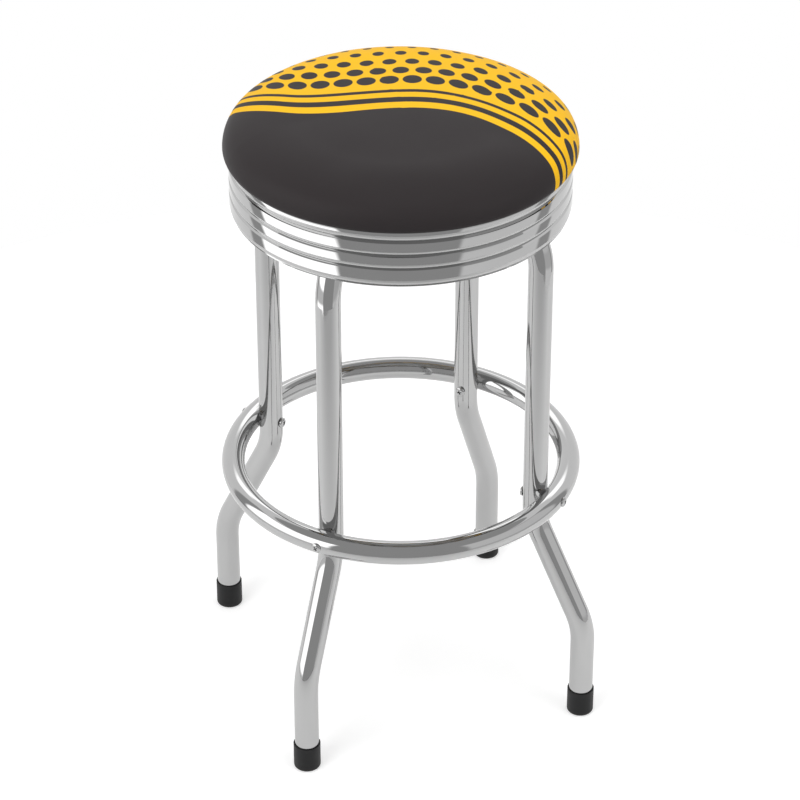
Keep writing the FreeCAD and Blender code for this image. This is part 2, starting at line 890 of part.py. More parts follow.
def crown_points(inset, bottom):
    """The pad's side from its lower roll over the edge to the middle of the crown, moved in by inset.

    Three arcs meet in line: a nearly flat top, a shoulder and an edge. The edge arc's centre is level
    with the pad's widest line and the top arc's centre is on the axis, so both are known. The
    shoulder's centre lies where circles about those two cross.
    """
    top_centre = v.seat_height - v.crown_radius
    edge_centre = v.seat_radius - v.edge_radius
    fall = widest_height - top_centre
    span = root(edge_centre * edge_centre + fall * fall)
    from_top = v.crown_radius - v.shoulder_radius
    from_edge = v.shoulder_radius - v.edge_radius
    along = (span * span + from_top * from_top - from_edge * from_edge) / (span * 2)
    aside = root(from_top * from_top - along * along)
    shoulder_x = (edge_centre * along - fall * aside) / span
    shoulder_z = top_centre + (fall * along + edge_centre * aside) / span
    top_radius = v.crown_radius - inset
    shoulder_radius = v.shoulder_radius - inset
    edge_radius = v.edge_radius - inset
    top_share = top_radius / from_top
    edge_share = edge_radius / from_edge
    return [
        (v.seat_radius - inset, widest_height, bottom, 1),
        (
            edge_centre + (edge_centre - shoulder_x) * edge_share,
            widest_height + (widest_height - shoulder_z) * edge_share,
            edge_radius,
            1,
        ),
        (shoulder_x * top_share, top_centre + (shoulder_z - top_centre) * top_share, shoulder_radius, 1),
        (0, v.seat_height - inset, top_radius, 1),
    ]


def make_seat_foam():
    """The pad: a low crown with rounded shoulders, which bulges out over the rim band."""
    inset = v.cover_wall + v.soft_gap
    low = board_top
    roll = v.roll_radius - inset
    centre = v.seat_radius - v.roll_radius
    dip = widest_height - low
    reach = root(roll * roll - dip * dip)
    return section_body("seat_foam", [(0, low), (centre + reach, low)] + crown_points(inset, roll))


def make_seat_cover():
    """One skin over the foam, tucked in above the band, down the board's edge and under it."""
    centre = v.seat_radius - v.roll_radius
    wall = v.cover_wall
    inner_neck = neck_radius - wall
    outer = crown_points(as_size(0), v.roll_radius)
    inner = crown_points(wall, v.roll_radius - wall)
    back = [
        (inner[3][0], inner[3][1]),
        (inner[2][0], inner[2][1], inner[3][2], -1),
        (inner[1][0], inner[1][1], inner[2][2], -1),
        (inner[0][0], inner[0][1], inner[1][2], -1),
        (centre, roll_bottom + wall, inner[0][2], -1),
    ]
    hem_inner = inner_neck - v.hem_width
    under = [
        (inner_neck, roll_bottom + wall),
        (inner_neck, hem_bottom + wall),
        (hem_inner, hem_bottom + wall),
        (hem_inner, hem_bottom),
        (neck_radius, hem_bottom),
        (neck_radius, roll_bottom),
        (centre, roll_bottom),
    ]
    return section_body("seat_cover", under + outer + back)


def band_side(offset):
    """The band's face from its top edge to the start of its lip, moved in by offset.

    Each groove is a curl that rolls in under the rib above, then a narrow ledge out to the rib below.
    The ledge is also moved down, so that the strip keeps its wall there.
    """
    face = rim_radius - offset
    deep = face - v.groove_depth
    ledge = root(v.slope_drop * v.slope_drop + v.groove_depth * v.groove_depth)
    lower = offset * ((ledge - v.slope_drop) / v.groove_depth)
    points = [(face, rim_top)]
    for number in range(GROOVE_COUNT):
        start = v.curl_drop if number else v.first_curl_drop
        drop = start + lower
        curl = (drop * drop + v.groove_depth * v.groove_depth) / (v.groove_depth * 2)
        middle = rim_top - v.first_groove - v.groove_pitch * float(number)
        points += [
            (face, middle + start),
            (deep, middle - lower, curl, -1),
            (face, middle - lower - v.slope_drop),
        ]
    return points


def make_rim_band():
    """Roll-formed strip with three grooves and a lip turned in at the bottom."""
    wall = v.rim_wall
    outer = band_side(as_size(0))
    inner = band_side(wall)
    face = rim_radius
    lip = v.lip_reach
    outer += [(face, rim_bottom + lip), (face - lip, rim_bottom, lip, -1)]
    back = [(face - lip, rim_bottom + wall), (face - wall, rim_bottom + lip, lip - wall, 1)]
    for number in reversed(range(GROOVE_COUNT)):
        top, groove, low = inner[1 + number * 3 : 4 + number * 3]
        back += [low, groove[:2], (top[0], top[1], groove[2], 1)]
    back.append(inner[0])
    return section_body("rim_band", outer + back)


def make_rim_brackets():
    """Angle brackets, curved to the band and welded to its grooves' crests, that carry it under the board."""
    body = new_body("rim_brackets", 45.0)
    sketch = new_sketch(body, "rim_bracket_section")
    back = rim_bore - v.groove_depth - v.cap_gap
    top = hem_bottom
    wall = v.bracket_wall
    draw(
        sketch,
        [
            (back - v.bracket_reach, top - wall),
            (back - wall, top - wall),
            (back - wall, top - v.bracket_drop),
            (back, top - v.bracket_drop),
            (back, top),
            (back - v.bracket_reach, top),
        ],
    )
    turned = revolve(body, sketch)
    turned.Angle = v.bracket_angle.value
    turned.setExpression("Angle", v.bracket_angle.formula)
    turned.Midplane = True
    doc.recompute()
    hole = new_sketch(body, "rim_bracket_hole", "XY_Plane", top)
    draw_circle(hole, bracket_screw_circle, 0, v.board_screw_radius + v.hole_gap)
    drilled = pocket(body, hole)
    doc.recompute()
    round_array(body, [turned, drilled], v.bracket_count)
    return body


def make_bracket_screws():
    body = new_body("bracket_screws", 45.0)
    screw = upright_screw(
        body, 0, bracket_screw_circle, as_size(0), hem_bottom - v.bracket_wall, 1, v.board_screw_head,
        v.board_screw_head_depth, v.board_screw_radius, v.board_screw_length
    )
    doc.recompute()
    round_array(body, [screw], v.bracket_count)
    return body


def write_parts(parts):
    """Checks every object, then writes each sub-part to its own file."""
    doc.recompute()
    for item in doc.Objects:
        if "Invalid" in item.State or "Error" in item.State:
            raise RuntimeError("%s did not build: %s" % (item.Name, item.State))
    for part in parts:
        if part.Shape.isNull() or not part.Shape.isValid():
            raise RuntimeError("%s has no valid solid" % part.Label)
    os.makedirs("parts", exist_ok=True)
    for part in parts:
        part.Shape.exportStep("parts/%s.step" % part.Label)
        print("%-20s %2d solids %10.1f mm3" % (part.Label, len(part.Shape.Solids), part.Shape.Volume))


def main():
    parts = make_legs() + [make_foot_ring()] + make_foot_caps() + [make_ring_screws(), make_ring_nuts()]
    parts += make_leg_fasteners() + make_swivel_plates() + [make_pivot_rivet(), make_balls(), make_ball_cage()]
    parts += [make_seat_screws(), make_tee_nuts(), make_seat_board(), make_seat_foam(), make_seat_cover()]
    parts += [make_rim_band(), make_rim_brackets(), make_bracket_screws()]
    write_parts(parts)


main()
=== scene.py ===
"""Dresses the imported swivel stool: padded printed seat, polished chrome, zinc hardware and a plain studio."""

import functools
import math

import bmesh
import bpy
from mathutils import Matrix, Vector, noise


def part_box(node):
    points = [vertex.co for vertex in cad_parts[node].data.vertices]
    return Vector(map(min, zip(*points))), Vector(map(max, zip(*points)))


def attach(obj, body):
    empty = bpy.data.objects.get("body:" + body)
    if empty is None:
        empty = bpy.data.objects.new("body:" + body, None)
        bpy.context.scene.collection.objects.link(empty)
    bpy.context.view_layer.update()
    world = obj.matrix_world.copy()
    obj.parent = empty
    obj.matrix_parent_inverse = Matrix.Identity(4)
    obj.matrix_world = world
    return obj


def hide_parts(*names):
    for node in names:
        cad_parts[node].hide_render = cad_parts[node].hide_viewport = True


bl_info = {
    "name": "Swivel stool dressing",
    "version": (1, 0, 0),
    "blender": (4, 5, 0),
    "location": "View3D > Sidebar > Stool",
    "description": "Gives the packed swivel stool its cushion, finishes, fasteners and studio",
    "category": "Object",
}

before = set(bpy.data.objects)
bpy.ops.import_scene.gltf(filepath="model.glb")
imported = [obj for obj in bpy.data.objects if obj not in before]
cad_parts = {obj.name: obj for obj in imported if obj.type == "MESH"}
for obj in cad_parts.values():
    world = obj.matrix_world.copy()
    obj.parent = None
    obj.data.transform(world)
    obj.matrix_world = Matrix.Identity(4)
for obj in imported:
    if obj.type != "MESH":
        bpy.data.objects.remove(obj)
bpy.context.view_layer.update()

MM = 0.001
COVER_LOW, COVER_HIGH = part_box("seat_cover")
BOARD_LOW, BOARD_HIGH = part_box("seat_board")
PHOTO_TURN = math.radians(27)

# Height of the cushion's widest line.
WIDEST = 715.3 * MM

# The legs' sides, each a quarter turn after the one before.
SIDES = ("right", "rear", "left", "front")

# Where the seat's screws and its six brackets start round the axis, and the brackets' pitch.
DIAGONAL, BRACKET_PITCH = math.radians(45), math.radians(60)

# Steps round the band and the foot ring.
TURN_STEPS = 288

WHITE = (1.0, 1.0, 1.0, 1.0)


# Shared helpers


def linear(code):
    """A colour written as sRGB hex, as linear values with full alpha."""
    values = []
    for place in (1, 3, 5):
        share = int(code[place : place + 2], 16) / 255
        values.append(share / 12.92 if share <= 0.04045 else ((share + 0.055) / 1.055) ** 2.4)
    return (*values, 1.0)


def connect(tree, node, links):
    """Links or sets the named or numbered inputs of a node."""
    for socket, value in links.items():
        if isinstance(value, bpy.types.NodeSocket):
            tree.links.new(value, node.inputs[socket])
        else:
            node.inputs[socket].default_value = value


def add(tree, kind, links=None, **settings):
    """Adds a node, gives it its settings, then links or sets its inputs."""
    node = tree.nodes.new(kind)
    for name, value in settings.items():
        setattr(node, name, value)
    connect(tree, node, links or {})
    return node


def calculate(tree, operation, *values):
    """The result of one sum on numbers or sockets."""
    return add(tree, "ShaderNodeMath", dict(enumerate(values)), operation=operation).outputs[0]


def cleared_tree(owner):
    """The emptied node tree of a material or of the world."""
    owner.use_nodes = True
    owner.node_tree.nodes.clear()
    return owner.node_tree


def new_material(name):
    """An empty material with its tree, the shader that the finish is set on, and each point's own place."""
    material = bpy.data.materials.new(name)
    tree = cleared_tree(material)
    shader = add(tree, "ShaderNodeBsdfPrincipled")
    add(tree, "ShaderNodeOutputMaterial", {"Surface": shader.outputs[0]})
    return material, tree, shader, add(tree, "ShaderNodeTexCoord").outputs["Object"]


def new_piece(name, mesh, *materials):
    """A piece of the object with its mesh in the frame's own place."""
    piece = bpy.data.objects.new(name, mesh)
    bpy.context.scene.collection.objects.link(piece)
    for material in materials:
        mesh.materials.append(material)
    return piece


def settle(piece):
    """Makes what the modifiers show the piece's own plain mesh."""
    depsgraph = bpy.context.evaluated_depsgraph_get()
    evaluated = piece.evaluated_get(depsgraph)
    mesh = bpy.data.meshes.new_from_object(evaluated, preserve_all_data_layers=True, depsgraph=depsgraph)
    before = piece.data
    piece.modifiers.clear()
    piece.data = mesh
    bpy.data.meshes.remove(before)


def cut_away(piece, name, tool):
    """Cuts a closed shape out of a piece."""
    cutter = new_piece(name, tool)
    cut = piece.modifiers.new(name, "BOOLEAN")
    cut.operation = "DIFFERENCE"
    cut.solver = "EXACT"
    cut.object = cutter
    settle(piece)
    bpy.data.objects.remove(cutter)


def shade_by_angle(piece, degrees):
    """Smooth faces with crisp edges where they meet more sharply than the angle."""
    piece.data.shade_smooth()
    shape = bmesh.new()
    shape.from_mesh(piece.data)
    bmesh.ops.remove_doubles(shape, verts=shape.verts, dist=0.001 * MM)
    for edge in shape.edges:
        if len(edge.link_faces) == 2 and edge.calc_face_angle(0.0) > math.radians(degrees):
            edge.smooth = False
    shape.to_mesh(piece.data)
    shape.free()


def finish_nodes(material, *names):
    """Gives CAD nodes their finish through the slots of their objects."""
    for name in names:
        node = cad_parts[name]
        if not node.material_slots:
            node.data.materials.append(None)
        for slot in node.material_slots:
            slot.link = "OBJECT"
            slot.material = material


def full_turn(count):
    """Evenly spaced angles round a full turn."""
    return [2 * math.pi * step / count for step in range(count)]


def arc_points(centre, radius, start, end, count):
    """Points on an arc in the (radius, height) plane, from one angle to another, without the first."""
    points = []
    for step in range(1, count + 1):
        angle = start + (end - start) * step / count
        points.append((centre[0] + radius * math.cos(angle), centre[1] + radius * math.sin(angle)))
    return points


def plain_mesh(shape, name):
    """The mesh of a shape under construction, with its faces as they were made."""
    mesh = bpy.data.meshes.new(name)
    shape.to_mesh(mesh)
    shape.free()
    return mesh


def closed_mesh(shape, name):
    """The mesh of a closed shape under construction, with its normals outward."""
    bmesh.ops.recalc_face_normals(shape, faces=shape.faces)
    return plain_mesh(shape, name)


def turned_mesh(name, outline, steps):
    """A closed lathe shape about Z from (radius, height) points, which end on the axis or make a loop."""
    shape = bmesh.new()
    if outline[0][0] > 0:
        outline = [*outline, outline[0]]
    rings = []
    for radius, height in outline:
        angles = full_turn(steps) if radius > 0 else [0.0]
        places = [(radius * math.cos(angle), radius * math.sin(angle), height) for angle in angles]
        rings.append([shape.verts.new(place) for place in places])
    for low, high in zip(rings, rings[1:]):
        for step in range(steps):
            after = (step + 1) % steps
            lower = [low[step % len(low)], low[after % len(low)]]
            upper = [high[after % len(high)], high[step % len(high)]]
            unique = list(dict.fromkeys(lower + upper))
            if len(unique) > 2:
                shape.faces.new(unique)
    bmesh.ops.remove_doubles(shape, verts=shape.verts, dist=0.001 * MM)
    return closed_mesh(shape, name)


def lofted_mesh(name, rings):
    """A closed bar through rings of points, with a flat face at each end."""
    shape = bmesh.new()
    rows = [[shape.verts.new(place) for place in ring] for ring in rings]
    for low, high in zip(rows, rows[1:]):
        for step in range(len(low)):
            after = (step + 1) % len(low)
            shape.faces.new([low[step], low[after], high[after], high[step]])
    shape.faces.new(rows[0])
    shape.faces.new(rows[-1])
    return closed_mesh(shape, name)


# Sizes and colours that a user may change


def length_size(name, description, default, least=0.0):
    """A length that a user may change."""
    return bpy.props.FloatProperty(
        name=name, description=description, unit="LENGTH", default=default, min=least,
    )


def colour_choice(name, description, code):
    """A colour that a user may change."""
    return bpy.props.FloatVectorProperty(
        name=name, description=description, subtype="COLOR", default=linear(code)[:3], min=0.0, max=1.0,
    )


def point_in_room(name, description, default):
    """A point that a user may move."""
    return bpy.props.FloatVectorProperty(
        name=name, description=description, subtype="TRANSLATION", unit="LENGTH", default=default,
    )


class StoolSeatSizes(bpy.types.PropertyGroup):
    """Sizes and colours of the padded seat."""

    seat_radius: length_size("Seat radius", "Widest radius of the padded seat", COVER_HIGH.x, 0.1)
    crown_radius: length_size("Crown radius", "Radius of the nearly flat middle of the seat", 4.9, 1.0)
    shoulder_radius: length_size("Shoulder radius", "Radius of the rounded shoulder", 0.1045, 0.05)
    edge_radius: length_size("Edge radius", "Radius of the seat's outer edge", 0.0325, 0.01)
    roll_radius: length_size("Roll radius", "Radius of the small roll above the band", 0.0067, 0.002)
    cover_wall: length_size("Vinyl thickness", "Thickness of the vinyl with its backing", 0.0011, 0.0005)
    hem_width: length_size("Hem width", "Width of vinyl turned in under the board", 0.016, 0.008)
    pressure: bpy.props.FloatProperty(
        name="Foam pressure", description="How hard the foam pushes the stretched vinyl out",
        default=4.0, min=0.0,
    )
    swell_limit: length_size("Swell limit", "The most that a point of the vinyl may move", 0.008)
    pleat_depth: length_size("Pleat depth", "How far the gathered hem stands out under the board", 0.0016)
    light_print: colour_choice("Light print colour", "Warm yellow ink of the printed vinyl", "#FBC114")
    dark_print: colour_choice("Dark print colour", "Charcoal ink of the printed vinyl", "#302C2D")


class StoolMetalSizes(bpy.types.PropertyGroup):
    """Finish of the bright metal."""

    chrome_tint: colour_choice("Chrome tint", "Colour that chrome gives a white reflection", "#BBBBBB")
    chrome_roughness: bpy.props.FloatProperty(
        name="Chrome roughness", description="Blur of the chrome's reflections",
        default=0.045, min=0.0, max=1.0,
    )
    staple_count: bpy.props.IntProperty(
        name="Staple count", description="Staples that hold the hem under the board", default=54, min=6,
    )


class StoolStudioSizes(bpy.types.PropertyGroup):
    """Camera, lamps and floor."""

    camera_place: point_in_room("Camera place", "Where the camera stands", (1.4661, -2.8773, 2.4347))
    camera_aim: point_in_room("Camera aim", "Point at the middle of the view", (0.0, 0.0, 0.3726))
    lens: bpy.props.FloatProperty(
        name="Lens", description="Focal length in millimetres on a 36 mm sensor", default=146.44, min=10.0,
    )
    floor_radius: length_size("Floor radius", "Radius of the round studio floor", 1.17, 0.5)
    room_level: bpy.props.FloatProperty(
        name="Room level", description="Even light from all round, 1 is full", default=0.5, min=0.0,
    )


# Materials


def tone_of(colour, share):
    """A colour made darker or lighter by a share, with full alpha."""
    return (*[min(1.0, share * value) for value in colour], 1.0)


def photo_axes(tree, place, scale=1.0):
    """Each point's place on axes turned to the photograph's side: X to the right and Y away."""
    links = {"Vector": place, "Rotation": (0.0, 0.0, -PHOTO_TURN), "Scale": (scale, scale, scale)}
    turned = add(tree, "ShaderNodeMapping", links).outputs["Vector"]
    return add(tree, "ShaderNodeSeparateXYZ", {"Vector": turned}).outputs


def make_chrome():
    """Polished chrome plate on steel tube and strip: a bright mirror with faint polishing haze and swirls."""
    sizes = bpy.context.scene.stool_metal
    tint, blur = sizes.chrome_tint, sizes.chrome_roughness
    material, tree, shader, place = new_material("polished_chrome_plate")
    # The haze left by the polishing wheel: patches about 60 mm wide, in which the mirror is a little softer.
    patches = {"Vector": place, "Scale": 1 / (60 * MM), "Detail": 3.0, "Roughness": 0.55}
    haze = add(tree, "ShaderNodeTexNoise", patches).outputs["Fac"]
    tones = {"Factor": haze, "A": tone_of(tint, 1.0), "B": tone_of(tint, 0.93)}
    softness = {"Value": haze, "To Min": 0.7 * blur, "To Max": 1.4 * blur}
    # Swirls of the polish, drawn at 2 mm because the real ones are too fine to show.
    swirls = {"Vector": place, "Scale": 1 / (2 * MM), "Detail": 2.0, "Distortion": 1.5}
    swirl = add(tree, "ShaderNodeTexNoise", swirls).outputs["Fac"]
    relief = {"Height": swirl, "Strength": 0.02, "Distance": 0.05 * MM}
    connect(tree, shader, {
        "Metallic": 1.0,
        "Base Color": add(tree, "ShaderNodeMix", tones, data_type="RGBA").outputs["Result"],
        "Roughness": add(tree, "ShaderNodeMapRange", softness).outputs["Result"],
        "Normal": add(tree, "ShaderNodeBump", relief).outputs["Normal"],
    })
    return material


def make_rubber():
    """Vulcanised black rubber from a mould: dull and even, with a fine grain and a lower rim made lighter grey.
    """
    material, tree, shader, place = new_material("vulcanised_rubber")
    # Uneven cure, in patches about 7 mm wide.
    patches = {"Vector": place, "Scale": 1 / (7 * MM), "Detail": 4.0}
    mottle = add(tree, "ShaderNodeTexNoise", patches).outputs["Fac"]
    tones = {"Factor": mottle, "A": linear("#101011"), "B": linear("#19191A")}
    # Lighter grey towards the bottom, in patches, fading out over the lowest 5 mm.
    height = add(tree, "ShaderNodeSeparateXYZ", {"Vector": place}).outputs["Z"]
    thinning = {"Value": height, "From Min": 0.0, "From Max": 5 * MM, "To Min": 0.7, "To Max": 0.0}
    lighter_low_share = add(tree, "ShaderNodeMapRange", thinning).outputs["Result"]
    lightened_low = {
        "Factor": calculate(tree, "MULTIPLY", lighter_low_share, mottle),
        "A": add(tree, "ShaderNodeMix", tones, data_type="RGBA").outputs["Result"],
        "B": linear("#55534F"),
    }
    gloss = {"Value": mottle, "To Min": 0.42, "To Max": 0.62}
    # Mould grain of about 0.5 mm.
    pits = {"Vector": place, "Scale": 1 / (0.5 * MM), "Detail": 2.0}
    grain = add(tree, "ShaderNodeTexNoise", pits).outputs["Fac"]
    relief = {"Height": grain, "Strength": 0.25, "Distance": 0.1 * MM}
    connect(tree, shader, {
        "Base Color": add(tree, "ShaderNodeMix", lightened_low, data_type="RGBA").outputs["Result"],
        "Roughness": add(tree, "ShaderNodeMapRange", gloss).outputs["Result"],
        "Specular IOR Level": 0.3,
        "Normal": add(tree, "ShaderNodeBump", relief).outputs["Normal"],
    })
    return material


def make_metal(name, bright, dull, grain_width, rough_low, rough_high, grain_strength):
    """Worked steel: two close tones in 9 mm patches, uneven gloss and a fine surface grain."""
    material, tree, shader, place = new_material(name)
    patches = {"Vector": place, "Scale": 1 / (9 * MM), "Detail": 5.0, "Roughness": 0.6}
    worked = add(tree, "ShaderNodeTexNoise", patches).outputs["Fac"]
    tones = {"Factor": worked, "A": linear(dull), "B": linear(bright)}
    gloss = {"Value": worked, "To Min": rough_high, "To Max": rough_low}
    cells = {"Vector": place, "Scale": 1 / grain_width}
    grain = add(tree, "ShaderNodeTexVoronoi", cells, feature="SMOOTH_F1").outputs["Distance"]
    relief = {"Height": grain, "Strength": grain_strength, "Distance": 0.05 * MM}
    connect(tree, shader, {
        "Metallic": 1.0,
        "Base Color": add(tree, "ShaderNodeMix", tones, data_type="RGBA").outputs["Result"],
        "Roughness": add(tree, "ShaderNodeMapRange", gloss).outputs["Result"],
        "Normal": add(tree, "ShaderNodeBump", relief).outputs["Normal"],
    })
    return material


def make_plywood():
    """Rotary-cut birch plywood, sanded: pale wavy figure on the face and seven plies on the edge."""
    material, tree, shader, place = new_material("birch_plywood")
    # The figure of peeled veneer: long waves about 9 mm apart, stretched along the grain.
    veneer = add(tree, "ShaderNodeMapping", {"Vector": place, "Scale": (1.0, 0.12, 1.0)}).outputs["Vector"]
    waves = {"Vector": veneer, "Scale": 1 / (9 * MM), "Detail": 6.0, "Roughness": 0.62, "Distortion": 0.8}
    figure = add(tree, "ShaderNodeTexNoise", waves).outputs["Fac"]
    tone = add(tree, "ShaderNodeValToRGB", {"Fac": figure})
    for stop, share, code in zip(tone.color_ramp.elements, (0.32, 0.68), ("#B5AFA5", "#D0CAC1")):
        stop.position = share
        stop.color = linear(code)
    # Open pores 0.8 mm apart, drawn out along the grain.
    fibre = add(tree, "ShaderNodeMapping", {"Vector": place, "Scale": (1.0, 0.04, 1.0)}).outputs["Vector"]
    open_pores = {"Vector": fibre, "Scale": 1 / (0.8 * MM), "Detail": 2.0}
    pores = add(tree, "ShaderNodeTexNoise", open_pores).outputs["Fac"]
    relief = {"Height": pores, "Strength": 0.2, "Distance": 0.12 * MM}
    # Every other ply is laid across, and shows its darker end grain.
    plies = 7
    height = add(tree, "ShaderNodeSeparateXYZ", {"Vector": place}).outputs["Z"]
    above = calculate(tree, "SUBTRACT", height, BOARD_LOW.z)
    ply = calculate(tree, "DIVIDE", above, (BOARD_HIGH.z - BOARD_LOW.z) / plies)
    crossed = calculate(tree, "GREATER_THAN", calculate(tree, "MODULO", ply, 2.0), 1.0)
    layers = {"Factor": crossed, "A": tone.outputs["Color"], "B": linear("#8C8579")}
    connect(tree, shader, {
        "Base Color": add(tree, "ShaderNodeMix", layers, data_type="RGBA").outputs["Result"],
        "Roughness": 0.62,
        "Normal": add(tree, "ShaderNodeBump", relief).outputs["Normal"],
    })
    return material


def make_backing():
    """Knitted polyester on the back of the vinyl: off-white, with loops about 1 mm apart."""
    material, tree, shader, place = new_material("knitted_backing")
    stitches = {"Vector": place, "Scale": 1 / (1.0 * MM)}
    loops = add(tree, "ShaderNodeTexVoronoi", stitches).outputs["Distance"]
    tones = {"Factor": loops, "A": linear("#D9D5CB"), "B": linear("#B7B2A6")}
    relief = {"Height": loops, "Strength": 0.5, "Distance": 0.3 * MM}
    connect(tree, shader, {
        "Base Color": add(tree, "ShaderNodeMix", tones, data_type="RGBA").outputs["Result"],
        "Roughness": 0.85,
        "Sheen Weight": 0.3,
        "Normal": add(tree, "ShaderNodeBump", relief).outputs["Normal"],
    })
    return material


def soft_step(tree, value, edge, width):
    """0 below an edge and 1 above it, with a narrow smooth change between."""
    links = {"Value": value, "From Min": edge - width, "From Max": edge + width}
    return add(tree, "ShaderNodeMapRange", links, interpolation_type="SMOOTHSTEP").outputs["Result"]


def within(tree, value, low, high, fade):
    """1 between two ends, which fade softly, and 0 past them."""
    under = calculate(tree, "SUBTRACT", 1.0, soft_step(tree, value, high, fade))
    return calculate(tree, "MULTIPLY", soft_step(tree, value, low, fade), under)


# The print, in shares of the seat's radius: how crisp its edges are, where its stripes lie above the sweep,
# and where its dots start. The dots stand 26 mm apart, and each row's are smaller than the last by a step.
CRISP = 0.004
STRIPES = ((0.07, 0.13), (0.19, 0.225))
DOTS_START, DOT_PITCH = 0.29, 26 * MM
FIRST_DOT, DOT_STEP, LEAST_DOT, DOT_BLUR = 0.42, 0.055, 0.05, 0.02


def print_pattern(tree, place):
    """The print: how dark each point is, for a swept charcoal field, two parallel stripes and graded dots."""
    sizes = bpy.context.scene.stool_seat
    work_out = functools.partial(calculate, tree)
    axes = photo_axes(tree, place, 1 / sizes.seat_radius)
    across, away = axes["X"], axes["Y"]
    # The sweep falls from left to right in one long S, and every stripe and dot row follows it.
    wave = work_out("MULTIPLY", work_out("SINE", work_out("MULTIPLY_ADD", across, 2.9, 0.5)), 0.2)
    sweep = work_out("MULTIPLY_ADD", across, -0.45, wave)
    above = work_out("ADD", work_out("SUBTRACT", away, sweep), 0.16)
    dark = work_out("SUBTRACT", 1.0, soft_step(tree, above, 0.0, CRISP))
    for low, high in STRIPES:
        dark = work_out("MAXIMUM", dark, within(tree, above, low, high, CRISP))
    # The dots shrink away from the stripes as in a coarse printing screen, every other row half a pitch over.
    pitch = DOT_PITCH / sizes.seat_radius
    row_place = work_out("DIVIDE", work_out("SUBTRACT", above, DOTS_START), pitch)
    row = work_out("FLOOR", row_place)
    shift = work_out("MULTIPLY", work_out("MODULO", row, 2.0), 0.5)
    column_place = work_out("ADD", work_out("DIVIDE", across, pitch), shift)
    aside = work_out("SUBTRACT", work_out("FRACT", column_place), 0.5)
    along = work_out("SUBTRACT", work_out("FRACT", row_place), 0.5)
    squares = work_out("ADD", work_out("MULTIPLY", aside, aside), work_out("MULTIPLY", along, along))
    dot_size = work_out("MULTIPLY_ADD", row, -DOT_STEP, FIRST_DOT)
    inside = work_out("SUBTRACT", dot_size, work_out("SQRT", squares))
    dots = work_out("MULTIPLY", soft_step(tree, inside, 0.0, DOT_BLUR), work_out("GREATER_THAN", row, -0.5))
    dots = work_out("MULTIPLY", dots, work_out("GREATER_THAN", dot_size, LEAST_DOT))
    return work_out("MAXIMUM", dark, dots)


def make_vinyl():
    """Printed PVC vinyl: satin skin with a fine pressed grain, in two inks."""
    sizes = bpy.context.scene.stool_seat
    material, tree, shader, place = new_material("printed_vinyl")
    # The vinyl was printed flat, so the print follows the skin over the edge instead of the view from above.
    flat = add(tree, "ShaderNodeAttribute", attribute_name=PRINT_PLACE).outputs["Vector"]
    dark = print_pattern(tree, flat)
    # Ink laid down a little unevenly, in clouds about 45 mm wide.
    clouds = {"Vector": place, "Scale": 1 / (45 * MM), "Detail": 4.0, "Roughness": 0.5}
    cloud = add(tree, "ShaderNodeTexNoise", clouds).outputs["Fac"]
    inks = []
    for ink in (sizes.light_print, sizes.dark_print):
        tones = {"Factor": cloud, "A": tone_of(ink, 0.97), "B": tone_of(ink, 1.03)}
        inks.append(add(tree, "ShaderNodeMix", tones, data_type="RGBA").outputs["Result"])
    printed = {"Factor": dark, "A": inks[0], "B": inks[1]}
    # The dark ink is a thicker coat, and dries a touch glossier.
    satin = {"Value": cloud, "To Min": 0.5, "To Max": 0.57}
    gloss = add(tree, "ShaderNodeMapRange", satin).outputs["Result"]
    # Pressed grain with cells about 0.9 mm wide.
    cells = {"Vector": place, "Scale": 1 / (0.9 * MM)}
    grain = add(tree, "ShaderNodeTexVoronoi", cells, feature="SMOOTH_F1").outputs["Distance"]
    pressed = {"Height": grain, "Strength": 0.06, "Distance": 0.08 * MM}
    # The printed edge stands up by the thickness of the ink.
    inked = {
        "Height": dark, "Strength": 0.15, "Distance": 0.05 * MM,
        "Normal": add(tree, "ShaderNodeBump", pressed).outputs["Normal"],
    }
    connect(tree, shader, {
        "Base Color": add(tree, "ShaderNodeMix", printed, data_type="RGBA").outputs["Result"],
        "Roughness": calculate(tree, "MULTIPLY_ADD", dark, -0.04, gloss),
        "Specular IOR Level": 0.12,
        "Normal": add(tree, "ShaderNodeBump", inked).outputs["Normal"],
    })
    return material


# The padded seat


def crown_outline():
    """The seat's section from the middle of its crown to its widest line, as three arcs in line."""
    sizes = bpy.context.scene.stool_seat
    top_centre = COVER_HIGH.z - sizes.crown_radius
    edge_centre = sizes.seat_radius - sizes.edge_radius
    fall = WIDEST - top_centre
    span = math.hypot(edge_centre, fall)
    from_top = sizes.crown_radius - sizes.shoulder_radius
    from_edge = sizes.shoulder_radius - sizes.edge_radius
    along = (span**2 + from_top**2 - from_edge**2) / (2 * span)
    aside = math.sqrt(from_top**2 - along**2)
    shoulder = (
        (edge_centre * along - fall * aside) / span,
        top_centre + (fall * along + edge_centre * aside) / span,
    )
    top_end = math.atan2(shoulder[1] - top_centre, shoulder[0])
    edge_start = math.atan2(WIDEST - shoulder[1], edge_centre - shoulder[0])
    points = [(0.0, COVER_HIGH.z)]
    points += arc_points((0, top_centre), sizes.crown_radius, math.pi / 2, top_end, 200)
    points += arc_points(shoulder, sizes.shoulder_radius, top_end, edge_start, 80)
    points += arc_points((edge_centre, WIDEST), sizes.edge_radius, edge_start, 0.0, 60)
    return points


def run_lengths(points):
    """Distance along a line from its first point to each of its points."""
    lengths = [0.0]
    for before, after in zip(points, points[1:]):
        lengths.append(lengths[-1] + math.dist(before, after))
    return lengths


